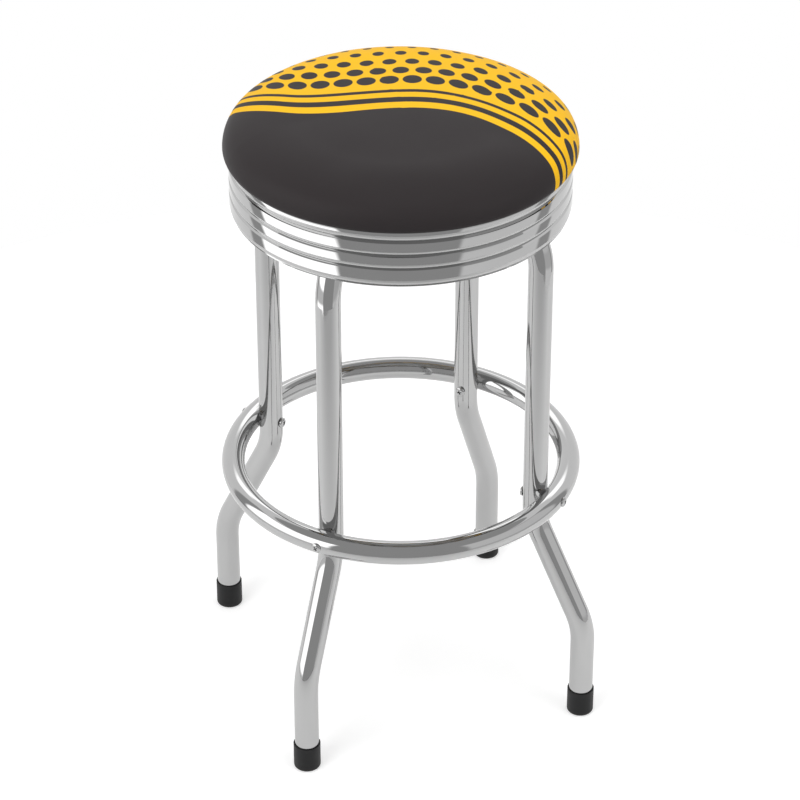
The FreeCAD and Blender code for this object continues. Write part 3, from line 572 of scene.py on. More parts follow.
def spaced(points, count):
    """The same line as evenly spaced points, both ends kept."""
    lengths = run_lengths(points)
    result = []
    place = 0
    for step in range(count + 1):
        wanted = lengths[-1] * step / count
        while place < len(lengths) - 2 and lengths[place + 1] < wanted:
            place += 1
        share = (wanted - lengths[place]) / (lengths[place + 1] - lengths[place])
        start, end = points[place], points[place + 1]
        result.append((start[0] + (end[0] - start[0]) * share, start[1] + (end[1] - start[1]) * share))
    return result


def square_ring(level, step):
    """Grid place of one vertex of the square ring at that level, counted round from the middle of a side."""
    if level == 0:
        return (0, 0)
    side, along = divmod(step, 2 * level)
    offset = along - level
    return [(level, offset), (-offset, level), (-level, -offset), (offset, -level)][side]


def disc_grid(shape, rings):
    """Closes a round hole with a square grid whose rings become circles. Rings run from the middle out."""
    levels = len(rings) - 1
    grid = {}
    for level, (radius, height) in enumerate(rings):
        for step in range(max(1, 8 * level)):
            angle = 2 * math.pi * (step - level) / (8 * level) if level else 0.0
            place = (radius * math.cos(angle), radius * math.sin(angle), height)
            grid[square_ring(level, step)] = shape.verts.new(place)
    for row in range(-levels, levels):
        for column in range(-levels, levels):
            corners = ((column, row), (column + 1, row), (column + 1, row + 1), (column, row + 1))
            shape.faces.new([grid[corner] for corner in corners])
    return [grid[square_ring(levels, step)] for step in range(8 * levels)]


def ring_angle(vertex):
    """The angle of a vertex round the seat's axis."""
    return math.atan2(vertex.co.y, vertex.co.x)


def outward(vertex):
    """The level way from the seat's axis to a vertex, one long."""
    return Vector((math.cos(ring_angle(vertex)), math.sin(ring_angle(vertex)), 0))


# Radius of the row of staples in the hem.
STAPLE_CIRCLE = 180.5 * MM


def hem_pleats(angle):
    """How strongly the gathered hem is folded at an angle, from 0 to 1, lying flat under the brackets."""
    waves = 0.5 + 0.5 * math.sin(58 * angle + 2.2 * math.sin(5 * angle) + 1.4 * math.sin(11 * angle + 1))
    strength = 0.55 + 0.45 * noise.noise(Vector((3 * math.cos(angle), 3 * math.sin(angle), 0.7)))
    from_bracket = (angle - DIAGONAL + BRACKET_PITCH / 2) % BRACKET_PITCH - BRACKET_PITCH / 2
    clear = min(1.0, max(0.0, (abs(from_bracket) - math.radians(6.5)) / math.radians(4)))
    return waves * strength * clear


# Squares from the middle of the crown to its edge, points across the hem, and the gap from vinyl to board.
TOP_LEVELS, HEM_STEPS, SKIN_GAP = 40, 9, 0.3 * MM

# How far the cover is let down before it swells, and for how many frames it swells. Then how often its moves
# are evened, and how high above the widest line they are whole.
SLACK, SWELL_FRAMES, EVEN_ROUNDS, FADE_HEIGHT = 2 * MM, 20, 30, 12 * MM

# Attribute that holds where each point of the skin lay while the vinyl was still flat.
PRINT_PLACE = "print_place"


def skin_lines(wall, hem_width, roll_radius, seat_radius):
    """The cover's section below its widest line, and how many of its points lead to the cut edge."""
    neck = BOARD_HIGH.x + wall + SKIN_GAP
    hem_start, hem_bottom = neck - 1.5 * MM, COVER_LOW.z
    hem_inner = neck - wall - hem_width
    roll_bottom = WIDEST - roll_radius
    lines = arc_points((seat_radius - roll_radius, WIDEST), roll_radius, 0.0, -math.pi / 2, 6)
    lines += [
        (neck + 1.6 * MM, roll_bottom),
        (neck + 0.3 * MM, roll_bottom - 0.4 * MM),
        (neck, roll_bottom - 1.6 * MM),
        (neck, 0.5 * (roll_bottom + hem_bottom)),
        (neck, hem_bottom + 1.2 * MM),
        (neck - 0.4 * MM, hem_bottom + 0.3 * MM),
        (hem_start, hem_bottom),
    ]
    for step in range(1, HEM_STEPS + 1):
        lines.append((hem_start + (hem_inner - hem_start) * step / HEM_STEPS, hem_bottom))
    cut_edge = len(lines)
    lines += [
        (hem_inner, hem_bottom + wall),
        (0.5 * (hem_inner + neck - wall), hem_bottom + wall),
        (neck - wall, hem_bottom + wall),
        (neck - wall, BOARD_HIGH.z + SKIN_GAP),
    ]
    return lines, cut_edge


def cushion_mesh():
    """The stretched cover over its foam as one closed form: crown, edge, roll, hem and flat underside."""
    sizes = bpy.context.scene.stool_seat
    shape = bmesh.new()
    flat_place = shape.verts.layers.float_vector.new(PRINT_PLACE)
    crown = spaced(crown_outline(), TOP_LEVELS)
    ring = disc_grid(shape, crown)
    lines, cut_edge = skin_lines(sizes.cover_wall, sizes.hem_width, sizes.roll_radius, sizes.seat_radius)
    reach = run_lengths(crown + lines)
    for vertex in shape.verts:
        radius = vertex.co.xy.length
        level = min(range(TOP_LEVELS + 1), key=lambda number: abs(crown[number][0] - radius))
        vertex[flat_place] = outward(vertex) * reach[level]
    backing = []
    for place, (radius, height) in enumerate(lines):
        fresh = []
        for vertex in ring:
            fresh.append(shape.verts.new(outward(vertex) * radius + Vector((0, 0, height))))
            fresh[-1][flat_place] = outward(vertex) * reach[TOP_LEVELS + 1 + place]
        for step in range(len(ring)):
            after = (step + 1) % len(ring)
            face = shape.faces.new([ring[step], fresh[step], fresh[after], ring[after]])
            if place >= cut_edge:
                backing.append(face)
        ring = fresh
    radius, height = lines[-1]
    under = disc_grid(shape, [(radius * level / TOP_LEVELS, height) for level in range(TOP_LEVELS + 1)])
    backing += [face for face in shape.faces if all(abs(v.co.z - height) < 1e-6 for v in face.verts)]
    for face in backing:
        face.material_index = 1
    bmesh.ops.remove_doubles(shape, verts=ring + under, dist=0.02 * MM)
    for face in shape.faces:
        face.smooth = True
    return closed_mesh(shape, "seat_cushion")


def slacken(mesh, depth):
    """Lets the crown down before the foam pushes it up: most in the middle, nothing at the edge."""
    reach = bpy.context.scene.stool_seat.seat_radius
    for vertex in mesh.vertices:
        if vertex.co.z > WIDEST:
            vertex.co.z -= depth * max(0.0, 1 - (math.hypot(vertex.co.x, vertex.co.y) / reach) ** 2)


def evened(mesh, ways, rounds):
    """Spreads each point's move over its neighbours, because foam under vinyl lets no crease stand."""
    joined = {place: [] for place, way in enumerate(ways) if way is not None}
    for edge in mesh.edges:
        first, second = edge.vertices
        if first in joined and second in joined:
            joined[first].append(second)
            joined[second].append(first)
    for _ in range(rounds):
        fresh = list(ways)
        for place, others in joined.items():
            total = ways[place].copy()
            for other in others:
                total += ways[other]
            fresh[place] = total / (len(others) + 1)
        ways = fresh
    return ways


def swell(piece, pressure, limit):
    """Foam pressure under the stretched vinyl, as cloth held at its widest line and below."""
    mesh = piece.data
    form = [vertex.co.copy() for vertex in mesh.vertices]
    slacken(mesh, SLACK)
    free_from = WIDEST + 0.01 * MM
    held = piece.vertex_groups.new(name="held")
    for vertex in mesh.vertices:
        if vertex.co.z < free_from:
            held.add([vertex.index], 1.0, "REPLACE")
    cloth = piece.modifiers.new("foam pressure", "CLOTH")
    cloth.settings.quality = 6
    cloth.settings.mass = 0.3
    cloth.settings.tension_stiffness = 60
    cloth.settings.compression_stiffness = 60
    cloth.settings.shear_stiffness = 30
    cloth.settings.bending_stiffness = 20
    cloth.settings.use_pressure = True
    cloth.settings.uniform_pressure_force = pressure
    cloth.settings.effector_weights.gravity = 0
    cloth.settings.vertex_group_mass = held.name
    cloth.collision_settings.use_collision = False
    cloth.point_cache.frame_start = 1
    cloth.point_cache.frame_end = SWELL_FRAMES
    scene = bpy.context.scene
    for frame_number in range(1, SWELL_FRAMES + 1):
        scene.frame_set(frame_number)
    evaluated = piece.evaluated_get(bpy.context.evaluated_depsgraph_get())
    moved = [vertex.co.copy() for vertex in evaluated.data.vertices]
    piece.modifiers.remove(cloth)
    piece.vertex_groups.remove(held)
    scene.frame_set(1)
    ways = []
    for before, after in zip(form, moved):
        way = (after - before) if before.z > free_from else None
        ways.append(way and way * min(1.0, limit / max(way.length, 1e-9)))
    for vertex, before, way in zip(mesh.vertices, form, evened(mesh, ways, EVEN_ROUNDS)):
        fade = min(1.0, max(0.0, (before.z - WIDEST) / FADE_HEIGHT))
        vertex.co = before + way * fade if way else before


def gather_hem(mesh):
    """Puckers the roll above the band and folds the hem into pleats between the brackets."""
    sizes = bpy.context.scene.stool_seat
    for vertex in mesh.vertices:
        place = vertex.co
        radius = math.hypot(place.x, place.y)
        angle = ring_angle(vertex)
        if place.z < COVER_LOW.z + sizes.cover_wall + 0.1 * MM and radius < BOARD_HIGH.x:
            share = min(1.0, (BOARD_HIGH.x - radius) / (4 * MM))
            pressed = 1 - 0.8 * math.exp(-(((radius - STAPLE_CIRCLE) / (2.5 * MM)) ** 2))
            place.z -= sizes.pleat_depth * hem_pleats(angle) * share * pressed
        elif WIDEST - 7.4 * MM < place.z < WIDEST and radius > BOARD_HIGH.x:
            share = math.sin(math.pi * (WIDEST - place.z) / (7.5 * MM))
            spot = Vector((14 * math.cos(angle), 14 * math.sin(angle), 0.2))
            pucker = 0.25 * MM * share * noise.noise(spot)
            place.x += pucker * math.cos(angle)
            place.y += pucker * math.sin(angle)


class STOOL_OT_cushion(bpy.types.Operator):
    """Makes the padded seat: foam-filled printed vinyl, stretched over the board and gathered under it"""

    bl_idname = "stool.cushion"
    bl_label = "Padded seat"

    def execute(self, context):
        sizes = context.scene.stool_seat
        cushion = new_piece("seat_cushion", cushion_mesh(), make_vinyl(), make_backing())
        swell(cushion, sizes.pressure, sizes.swell_limit)
        gather_hem(cushion.data)
        skin = cushion.modifiers.new("skin", "SUBSURF")
        skin.levels = 1
        skin.render_levels = 1
        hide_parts("seat_cover", "seat_foam")
        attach(cushion, "seat")
        return {"FINISHED"}


# The rolled band


# The band's own sizes. Each groove's curl starts above its middle by its drop, and its ledge ends below it by
# its own, from the top groove down.
BAND_RADIUS, BAND_TOP, BAND_BOTTOM, BAND_WALL = 194.0 * MM, 708.3 * MM, 641.4 * MM, 0.9 * MM
GROOVE_DEPTH, GROOVE_PITCH, FIRST_GROOVE = 3.0 * MM, 16.95 * MM, 11.9 * MM
CURL_DROPS, LEDGE_DROPS = (6.4 * MM, 4.6 * MM, 4.6 * MM), (1.6 * MM, 2.1 * MM, 2.1 * MM)

# The lip turns in, flares out again and ends in a small rolled hem.
LIP_REACH, LIP_TURN = 5.6 * MM, math.radians(65)
FLARE_REACH, FLARE_DROP, HEM_RADIUS = 1.1 * MM, 1.0 * MM, 0.275 * MM

# How far each rib's face is crowned, and how far the band's top edge is rounded.
RIB_CROWN, TOP_ROUND = 0.12 * MM, 0.25 * MM


def rib_points(face, high, low):
    """The crowned face of one rib, from its top to its bottom."""
    points = []
    for step in range(9):
        share = step / 8
        points.append((face + RIB_CROWN * 4 * share * (1 - share), high + (low - high) * share))
    return points


def band_side(offset):
    """The band's face from its top edge to its lip, moved in by offset: curls, ledges and the hemmed lip."""
    face = BAND_RADIUS - offset
    points = [(face + (TOP_ROUND if offset else -TOP_ROUND), BAND_TOP)]
    top = BAND_TOP - TOP_ROUND
    for number, (start, ledge) in enumerate(zip(CURL_DROPS, LEDGE_DROPS)):
        middle = BAND_TOP - FIRST_GROOVE - GROOVE_PITCH * number
        lower = offset * (math.hypot(ledge, GROOVE_DEPTH) - ledge) / GROOVE_DEPTH
        drop = start + lower
        curl = (drop**2 + GROOVE_DEPTH**2) / (2 * GROOVE_DEPTH)
        points += rib_points(face, top, middle + start)
        points += arc_points((face - curl, middle + start), curl, 0.0, -math.asin(drop / curl), 12)
        top = middle - lower - ledge
    lip = LIP_REACH - offset
    points += rib_points(face, top, BAND_BOTTOM + LIP_REACH)
    lip_middle = (face - lip, BAND_BOTTOM + LIP_REACH)
    if offset:
        return points + arc_points(lip_middle, lip, 0.0, -math.pi / 2, 10)
    points += arc_points(lip_middle, lip, 0.0, -LIP_TURN, 8)
    reach, height = points[-1]
    hem_middle = (reach + FLARE_REACH - HEM_RADIUS, height - FLARE_DROP)
    edge = arc_points(hem_middle, HEM_RADIUS, 0.0, -math.pi / 2, 4)
    return points + edge + [(face - lip, edge[-1][1])]


class STOOL_OT_band(bpy.types.Operator):
    """Makes the grooved band as finely turned strip, so that its long reflections run unbroken"""

    bl_idname = "stool.band"
    bl_label = "Rolled band"

    def execute(self, context):
        chrome = bpy.data.materials["polished_chrome_plate"]
        section = band_side(0.0) + list(reversed(band_side(BAND_WALL)))
        band = new_piece("rim_band_rolled", turned_mesh("rim_band_rolled", section, TURN_STEPS), chrome)
        shade_by_angle(band, 30)
        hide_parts("rim_band")
        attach(band, "seat")
        return {"FINISHED"}


# Bent tubes


# The tubes' own sizes: where their centre lines run, their radii, and each leg's bends, arm and flat tongue.
LEG_CIRCLE, FOOT_CIRCLE, RING_CIRCLE, RING_HEIGHT = 176.2 * MM, 243.2 * MM, 199.3 * MM, 293.4 * MM
TUBE_RADIUS, RING_TUBE_RADIUS, SADDLE_RADIUS = 14.3 * MM, 13.6 * MM, 13.65 * MM
UPPER_BEND, LOWER_BEND, BEND_RADIUS, CAP_FLOOR = 261.3 * MM, 124.3 * MM, 90.0 * MM, 4.0 * MM
ARM_HEIGHT, ARM_END, TONGUE_START, TONGUE_TIP = 680.0 * MM, 94.2 * MM, 78.2 * MM, 48.0 * MM
CRUSHED_WIDTH, CRUSHED_DEPTH = 43.2 * MM, 3.0 * MM
LEG_SLANT = math.atan2(FOOT_CIRCLE - LEG_CIRCLE, UPPER_BEND - LOWER_BEND)

# How finely the tubes, the crushed ends and half of each saddle are drawn.
TUBE_SIDES, CRUSH_STEPS, SADDLE_STEPS = 72, 14, 18


def leg_bends():
    """The bends of a leg from the foot up, each as its centre, its radius and its first and last angle."""
    setback = BEND_RADIUS * math.tan(LEG_SLANT / 2)
    top = LEG_CIRCLE - ARM_END
    return (
        (FOOT_CIRCLE - BEND_RADIUS, LOWER_BEND - setback, BEND_RADIUS, 0.0, LEG_SLANT),
        (LEG_CIRCLE + BEND_RADIUS, UPPER_BEND + setback, BEND_RADIUS, math.pi + LEG_SLANT, math.pi),
        (ARM_END, ARM_HEIGHT - top, top, 0.0, math.pi / 2),
    )


def leg_stations():
    """Points along a leg's centre line, each with its lean from upright, from the foot to the crushed end."""
    stations = [(FOOT_CIRCLE, CAP_FLOOR, 0.0)]
    for middle, height, radius, start, end in leg_bends():
        steps = round(abs(end - start) / math.radians(1.5))
        for step in range(steps + 1):
            angle = start + (end - start) * step / steps
            lean = angle if end > start else angle - math.pi
            stations.append((middle + radius * math.cos(angle), height + radius * math.sin(angle), lean))
    return stations


def crushed_point(angle):
    """Where a point of the round tube lies once the end is crushed flat, as height and width."""
    half = CRUSHED_DEPTH / 2
    side = CRUSHED_WIDTH / 2 - half
    high, wide = math.cos(angle), math.sin(angle)
    fold = math.degrees(math.atan2(abs(high), abs(wide)))
    if fold < 60:
        edge = math.radians(1.5 * fold)
        flat_high, flat_wide = half * math.sin(edge), side + half * math.cos(edge)
    else:
        flat_high, flat_wide = half, side * (90 - fold) / 30
    return math.copysign(flat_high, high), math.copysign(flat_wide, wide)


def leg_rings():
    """Rings of points along one leg on the X axis: bent round tube, crush and flat tongue."""
    angles = full_turn(TUBE_SIDES)
    rings = []
    for reach, height, lean in leg_stations():
        out = Vector((math.cos(lean), 0, math.sin(lean))) * TUBE_RADIUS
        aside = Vector((0, TUBE_RADIUS, 0))
        middle = Vector((reach, 0, height))
        rings.append([middle + out * math.cos(angle) + aside * math.sin(angle) for angle in angles])
    shares = [step / CRUSH_STEPS for step in range(1, CRUSH_STEPS + 1)]
    crush = TONGUE_START - ARM_END
    places = [(ARM_END + crush * share, share * share * (3 - 2 * share)) for share in shares]
    for reach, flat in (*places, (TONGUE_TIP, 1.0)):
        ring = []
        for angle in angles:
            high, wide = crushed_point(angle)
            high += (TUBE_RADIUS * math.cos(angle) - high) * (1 - flat)
            wide += (TUBE_RADIUS * math.sin(angle) - wide) * (1 - flat)
            ring.append((reach, wide, ARM_HEIGHT + high))
        rings.append(ring)
    return rings


def saddle_rings():
    """Rings of points along the short stretch of ring that the saddle of a leg is pressed round."""
    rings = []
    for step in range(-SADDLE_STEPS, SADDLE_STEPS + 1):
        turn = math.radians(0.5 * step)
        ring = []
        for angle in full_turn(96):
            reach = RING_CIRCLE + SADDLE_RADIUS * math.cos(angle)
            height = RING_HEIGHT + SADDLE_RADIUS * math.sin(angle)
            ring.append((reach * math.cos(turn), reach * math.sin(turn), height))
        rings.append(ring)
    return rings


def leg_axis_point(place):
    """The point of a leg's centre line that lies straight inside a point of its round tube."""
    for middle, height, radius, start, end in leg_bends():
        angle = math.atan2(place.z - height, place.x - middle) % (2 * math.pi)
        if min(start, end) - 1e-4 < angle < max(start, end) + 1e-4:
            return Vector((middle + radius * math.cos(angle), 0, height + radius * math.sin(angle)))
    if place.z < LOWER_BEND:
        return Vector((FOOT_CIRCLE, 0, place.z))
    if place.z > UPPER_BEND:
        return Vector((LEG_CIRCLE, 0, place.z))
    along = Vector((-math.sin(LEG_SLANT), 0, math.cos(LEG_SLANT)))
    start = Vector((FOOT_CIRCLE, 0, LOWER_BEND))
    return start + along * (place - start).dot(along)


def give_true_normals(mesh):
    """Gives a leg's tube and saddle their exact normals, so that no facet shows in what they mirror."""
    normals = []
    for face in mesh.polygons:
        middle = face.center
        ring_gap = math.hypot(middle.xy.length - RING_CIRCLE, middle.z - RING_HEIGHT) - SADDLE_RADIUS
        in_saddle = abs(ring_gap) < 0.05 * MM
        for number in face.vertices:
            place = mesh.vertices[number].co
            if in_saddle:
                heart = place.xy.normalized() * RING_CIRCLE
                way = Vector((heart.x, heart.y, RING_HEIGHT)) - place
            elif place.x > ARM_END - 0.01 * MM:
                way = place - leg_axis_point(place)
            else:
                way = Vector()
            way.normalize()
            normals.append(way if way.dot(face.normal) > 0.7 else Vector())
    mesh.normals_split_custom_set(normals)


class STOOL_OT_tubes(bpy.types.Operator):
    """Makes the bent legs and the foot ring as finely bent tube, for reflections that run unbroken"""

    bl_idname = "stool.tubes"
    bl_label = "Bent tubes"

    def execute(self, context):
        chrome = bpy.data.materials["polished_chrome_plate"]
        blank = new_piece("leg_blank", lofted_mesh("leg_bent", leg_rings()))
        cut_away(blank, "saddle_cutter", lofted_mesh("saddle", saddle_rings()))
        shade_by_angle(blank, 30)
        give_true_normals(blank.data)
        for number, side in enumerate(SIDES):
            mesh = blank.data.copy()
            mesh.transform(Matrix.Rotation(math.pi / 2 * number, 4, "Z"))
            leg = new_piece(f"leg_{side}_bent", mesh, chrome)
            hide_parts(f"leg_{side}")
            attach(leg, "base")
        bpy.data.objects.remove(blank)
        section = arc_points((RING_CIRCLE, RING_HEIGHT), RING_TUBE_RADIUS, 0.0, 2 * math.pi, 64)
        ring = new_piece("foot_ring_rolled", turned_mesh("foot_ring_rolled", section, TURN_STEPS), chrome)
        ring.data.shade_smooth()
        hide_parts("foot_ring")
        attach(ring, "base")
        return {"FINISHED"}


# Fasteners


def ring_tree():
    """Geometry Nodes tree that repeats one small part round the axis, each with a little turn of its own."""
    tree = bpy.data.node_groups.new("parts round the axis", "GeometryNodeTree")
    kinds = {"Geometry": "Geometry", "Count": "Int", "In a group": "Int", "Material": "Material"}
    for name in (
        "Geometry", "Count", "In a group", "Radius", "Side", "Height", "First angle", "Tilt", "Quarter turn",
        "Loose turn", "Loose place", "Gap every", "Gap half width", "Material",
    ):
        kind = "NodeSocket" + kinds.get(name, "Float")
        tree.interface.new_socket(name=name, in_out="INPUT", socket_type=kind)
    tree.interface.new_socket(name="Geometry", in_out="OUTPUT", socket_type="NodeSocketGeometry")
    work_out = functools.partial(calculate, tree)
    given = add(tree, "NodeGroupInput").outputs
    index = add(tree, "GeometryNodeInputIndex").outputs[0]
    groups = work_out("DIVIDE", given["Count"], given["In a group"])
    group = work_out("FLOOR", work_out("DIVIDE", index, given["In a group"]))
    turn = work_out("DIVIDE", work_out("MULTIPLY", group, 2 * math.pi), groups)
    angle = work_out("ADD", turn, given["First angle"])
    member = work_out("MODULO", index, given["In a group"])
    side = work_out("MULTIPLY", work_out("SUBTRACT", work_out("MULTIPLY", member, 2.0), 1.0), given["Side"])
    loose = {"Min": -1.0, "Max": 1.0, "Seed": 7}
    shift = add(tree, "FunctionNodeRandomValue", loose, data_type="FLOAT").outputs[1]
    jitter = work_out("MULTIPLY", shift, given["Loose place"])
    radius = work_out("ADD", given["Radius"], jitter)
    cosine = work_out("COSINE", angle)
    sine = work_out("SINE", angle)
    x = work_out("SUBTRACT", work_out("MULTIPLY", cosine, radius), work_out("MULTIPLY", sine, side))
    y = work_out("ADD", work_out("MULTIPLY", sine, radius), work_out("MULTIPLY", cosine, side))
    place = add(tree, "ShaderNodeCombineXYZ", {0: x, 1: y, 2: given["Height"]}).outputs[0]
    points = add(tree, "GeometryNodePoints", {"Count": given["Count"], "Position": place}).outputs[0]
    # Leaves a part out where a bracket lies over its place.
    half_gap = work_out("MULTIPLY", given["Gap every"], 0.5)
    from_first = work_out("SUBTRACT", angle, given["First angle"])
    wrapped = work_out("WRAP", from_first, half_gap, work_out("MULTIPLY", half_gap, -1.0))
    from_gap = work_out("ABSOLUTE", wrapped)
    kept = work_out("GREATER_THAN", from_gap, given["Gap half width"])
    facing = add(tree, "ShaderNodeCombineXYZ", {0: 0.0, 1: given["Tilt"], 2: angle}).outputs[0]
    placed = add(tree, "GeometryNodeInstanceOnPoints", {
        "Points": points, "Selection": kept, "Instance": given["Geometry"],
        "Rotation": add(tree, "FunctionNodeEulerToRotation", {0: facing}).outputs[0],
    }).outputs[0]
    turned = {"Min": -1.0, "Max": 1.0, "Seed": 3}
    twist = add(tree, "FunctionNodeRandomValue", turned, data_type="FLOAT").outputs[1]
    own_turn = work_out("MULTIPLY_ADD", twist, given["Loose turn"], given["Quarter turn"])
    about_own = add(tree, "ShaderNodeCombineXYZ", {2: own_turn}).outputs[0]
    twisted = add(tree, "GeometryNodeRotateInstances", {
        "Instances": placed, "Local Space": True,
        "Rotation": add(tree, "FunctionNodeEulerToRotation", {0: about_own}).outputs[0],
    }).outputs[0]
    real = add(tree, "GeometryNodeRealizeInstances", {"Geometry": twisted}).outputs[0]
    links = {"Geometry": real, "Material": given["Material"]}
    add(tree, "NodeGroupOutput", {0: add(tree, "GeometryNodeSetMaterial", links).outputs[0]})
    return tree


def repeat_round(name, mesh, tree, material, **values):
    """One piece that holds a small part repeated round the axis, made by the shared tree."""
    piece = new_piece(name, mesh)
    modifier = piece.modifiers.new("round the axis", "NODES")
    modifier.node_group = tree
    plain = dict.fromkeys(("Side", "First angle", "Tilt", "Quarter turn", "Loose turn", "Loose place"), 0.0)
    plain.update({"In a group": 1, "Gap every": 1.0, "Gap half width": -1.0, "Material": material}, **values)
    for socket in tree.interface.items_tree:
        if socket.in_out == "INPUT" and socket.name in plain:
            modifier[socket.identifier] = plain[socket.name]
    settle(piece)
    piece.data.shade_smooth()
    return piece


def pan_outline(head_radius, head_depth, shank_radius, length, thread_pitch, thread_length):
    """Section of a pan-head machine screw, head up with its seat at height 0 and its shank below."""
    outline = [(0, head_depth)]
    for step in range(1, 9):
        angle = math.radians(90 - 10 * step)
        spread = math.cos(angle) ** 0.6
        outline.append((head_radius * spread, head_depth * (0.4 + 0.6 * math.sin(angle))))
    outline += [
        (head_radius, 0.4 * head_depth),
        (head_radius, 0.12 * head_depth),
        (head_radius - 0.2 * MM, 0.0),
        (shank_radius, 0.0),
    ]
    start = max(0.2 * MM, length - thread_length)
    outline.append((shank_radius, -start))
    crests = int((length - 0.6 * MM - start) / thread_pitch)
    for crest in range(crests):
        low = -(start + thread_pitch * crest)
        outline.append((shank_radius - 0.45 * thread_pitch, low - 0.5 * thread_pitch))
        outline.append((shank_radius, low - thread_pitch))
    outline += [(shank_radius - 0.6 * MM, -length), (0, -length)]
    return outline


def cross_recess(head_radius, head_depth):
    """The tapered cross that a driver bit leaves in a pan head, as a closed cutting shape."""
    rims = []
    for height, share in ((0.3 * head_depth, 0.45), (1.2 * head_depth, 1.0)):
        far, near = 0.56 * head_radius * share, 0.15 * head_radius * (0.7 + 0.3 * share)
        rims.append([(x, y, height) for x, y in (
            (far, -near), (far, near), (near, near), (near, far), (-near, far), (-near, near),
            (-far, near), (-far, -near), (-near, -near), (-near, -far), (near, -far), (near, -near),
        )])
    return lofted_mesh("cross_recess", rims)


def screw_mesh(head_radius, head_depth, shank_radius, length, thread_pitch, thread_length):
    """A pan-head screw with its cross recess cut in."""
    outline = pan_outline(head_radius, head_depth, shank_radius, length, thread_pitch, thread_length)
    screw = new_piece("screw_blank", turned_mesh("screw_blank", outline, 40))
    cut_away(screw, "screw_cutter", cross_recess(head_radius, head_depth))
    mesh = screw.data
    bpy.data.objects.remove(screw)
    return mesh


def staple_mesh():
    """A wire staple, crown up with its middle at height 0 and its legs below."""
    half, leg, bend = 5 * MM, 5 * MM, 0.8 * MM
    left = [(-half, -leg), (-half, -bend), (-half + 0.3 * bend, -0.3 * bend), (-half + bend, 0.0)]
    path = [Vector((x, 0, z)) for x, z in left + [(-x, z) for x, z in reversed(left)]]
    thick, wide = 0.28 * MM, 0.62 * MM
    rings = []
    for place, middle in enumerate(path):
        along = (path[min(len(path) - 1, place + 1)] - path[max(0, place - 1)]).normalized()
        out = Vector((-along.z, 0, along.x)) * thick
        aside = Vector((0, wide, 0))
        rings.append((middle + out - aside, middle + out + aside, middle - out + aside, middle - out - aside))
    return lofted_mesh("staple", rings)


def screw_set(name, head_radius, head_depth, shank_radius, thread, head_down, **places):
    """An upright set of screws in its node's box: its name, its blank and where the tree puts each one."""
    low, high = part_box(name)
    length = high.z - low.z - head_depth
    blank = screw_mesh(head_radius, head_depth, shank_radius, length, *thread)
    seat, tilt = (low.z + head_depth, math.pi) if head_down else (high.z - head_depth, 0.0)
    return name, blank, {**places, "Height": seat, "Tilt": tilt, "Loose turn": SCREW_TURN}


def ring_set(name, seat, tilt, blank_sizes):
    """A level set of four at the foot ring, one to each leg: its name, its blank and where it goes."""
    places = {"Radius": seat, "Height": RING_HEIGHT, "Count": 4, "Tilt": tilt, "Loose turn": SCREW_TURN}
    return name, screw_mesh(*blank_sizes), places


# Where the ring's screw heads bed into the outside of the ring, and its nuts against the legs.
RING_SCREW_SEAT = 211.9 * MM
RING_NUT_SEAT = 161.9 * MM

# The most that a screw's cross may be turned from its neighbours', in radians.
SCREW_TURN = 0.7


class STOOL_OT_screws(bpy.types.Operator):
    """Makes every pan-head screw and bolt with its cross recess and thread, and the hem's staples"""

    bl_idname = "stool.screws"
    bl_label = "Screws, bolts and staples"

    def execute(self, context):
        chrome = bpy.data.materials["polished_chrome_plate"]
        zinc = bpy.data.materials["zinc_plated_steel"]
        tree = ring_tree()
        fine = (1.0 * MM, 14 * MM)
        coarse = (1.3 * MM, 10 * MM)
        screw_sizes = (5.9 * MM, 3.4 * MM, 2.5 * MM, 44.5 * MM, 0.8 * MM, 20 * MM)
        nut_sizes = (6.1 * MM, 3.8 * MM, 3.5 * MM, 22 * MM, 1.0 * MM, 0.0)
        sets = [
            (ring_set("ring_screws", RING_SCREW_SEAT, math.pi / 2, screw_sizes), "base", chrome),
            (ring_set("ring_nuts", RING_NUT_SEAT, -math.pi / 2, nut_sizes), "base", chrome),
            (screw_set("leg_bolts", 6 * MM, 3.3 * MM, 3 * MM, fine, False, **{
                "Count": 8, "In a group": 2, "Radius": 62 * MM, "Side": 11 * MM,
            }), "base", zinc),
            (screw_set("seat_screws", 5.5 * MM, 3.3 * MM, 3 * MM, fine, True, **{
                "Count": 4, "Radius": 66 * MM, "First angle": DIAGONAL,
            }), "seat", zinc),
            (screw_set("bracket_screws", 4.2 * MM, 2.6 * MM, 2 * MM, coarse, True, **{
                "Count": 6, "Radius": 169.1 * MM, "First angle": DIAGONAL,
            }), "seat", zinc),
        ]
        for (name, blank, places), body, material in sets:
            piece = repeat_round(name + "_crossed", blank, tree, material, **places)
            shade_by_angle(piece, 32)
            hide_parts(name)
            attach(piece, body)
        staples = repeat_round("hem_staples", staple_mesh(), tree, zinc, **{
            "Count": context.scene.stool_metal.staple_count, "Radius": STAPLE_CIRCLE,
            "Height": COVER_LOW.z - 0.45 * MM, "Tilt": math.pi, "First angle": DIAGONAL,
            "Quarter turn": math.pi / 2, "Loose turn": 0.35, "Loose place": 1.2 * MM,
            "Gap every": BRACKET_PITCH, "Gap half width": math.radians(7.5),
        })
        shade_by_angle(staples, 40)
        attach(staples, "seat")
        return {"FINISHED"}


# Metal and rubber of the CAD nodes


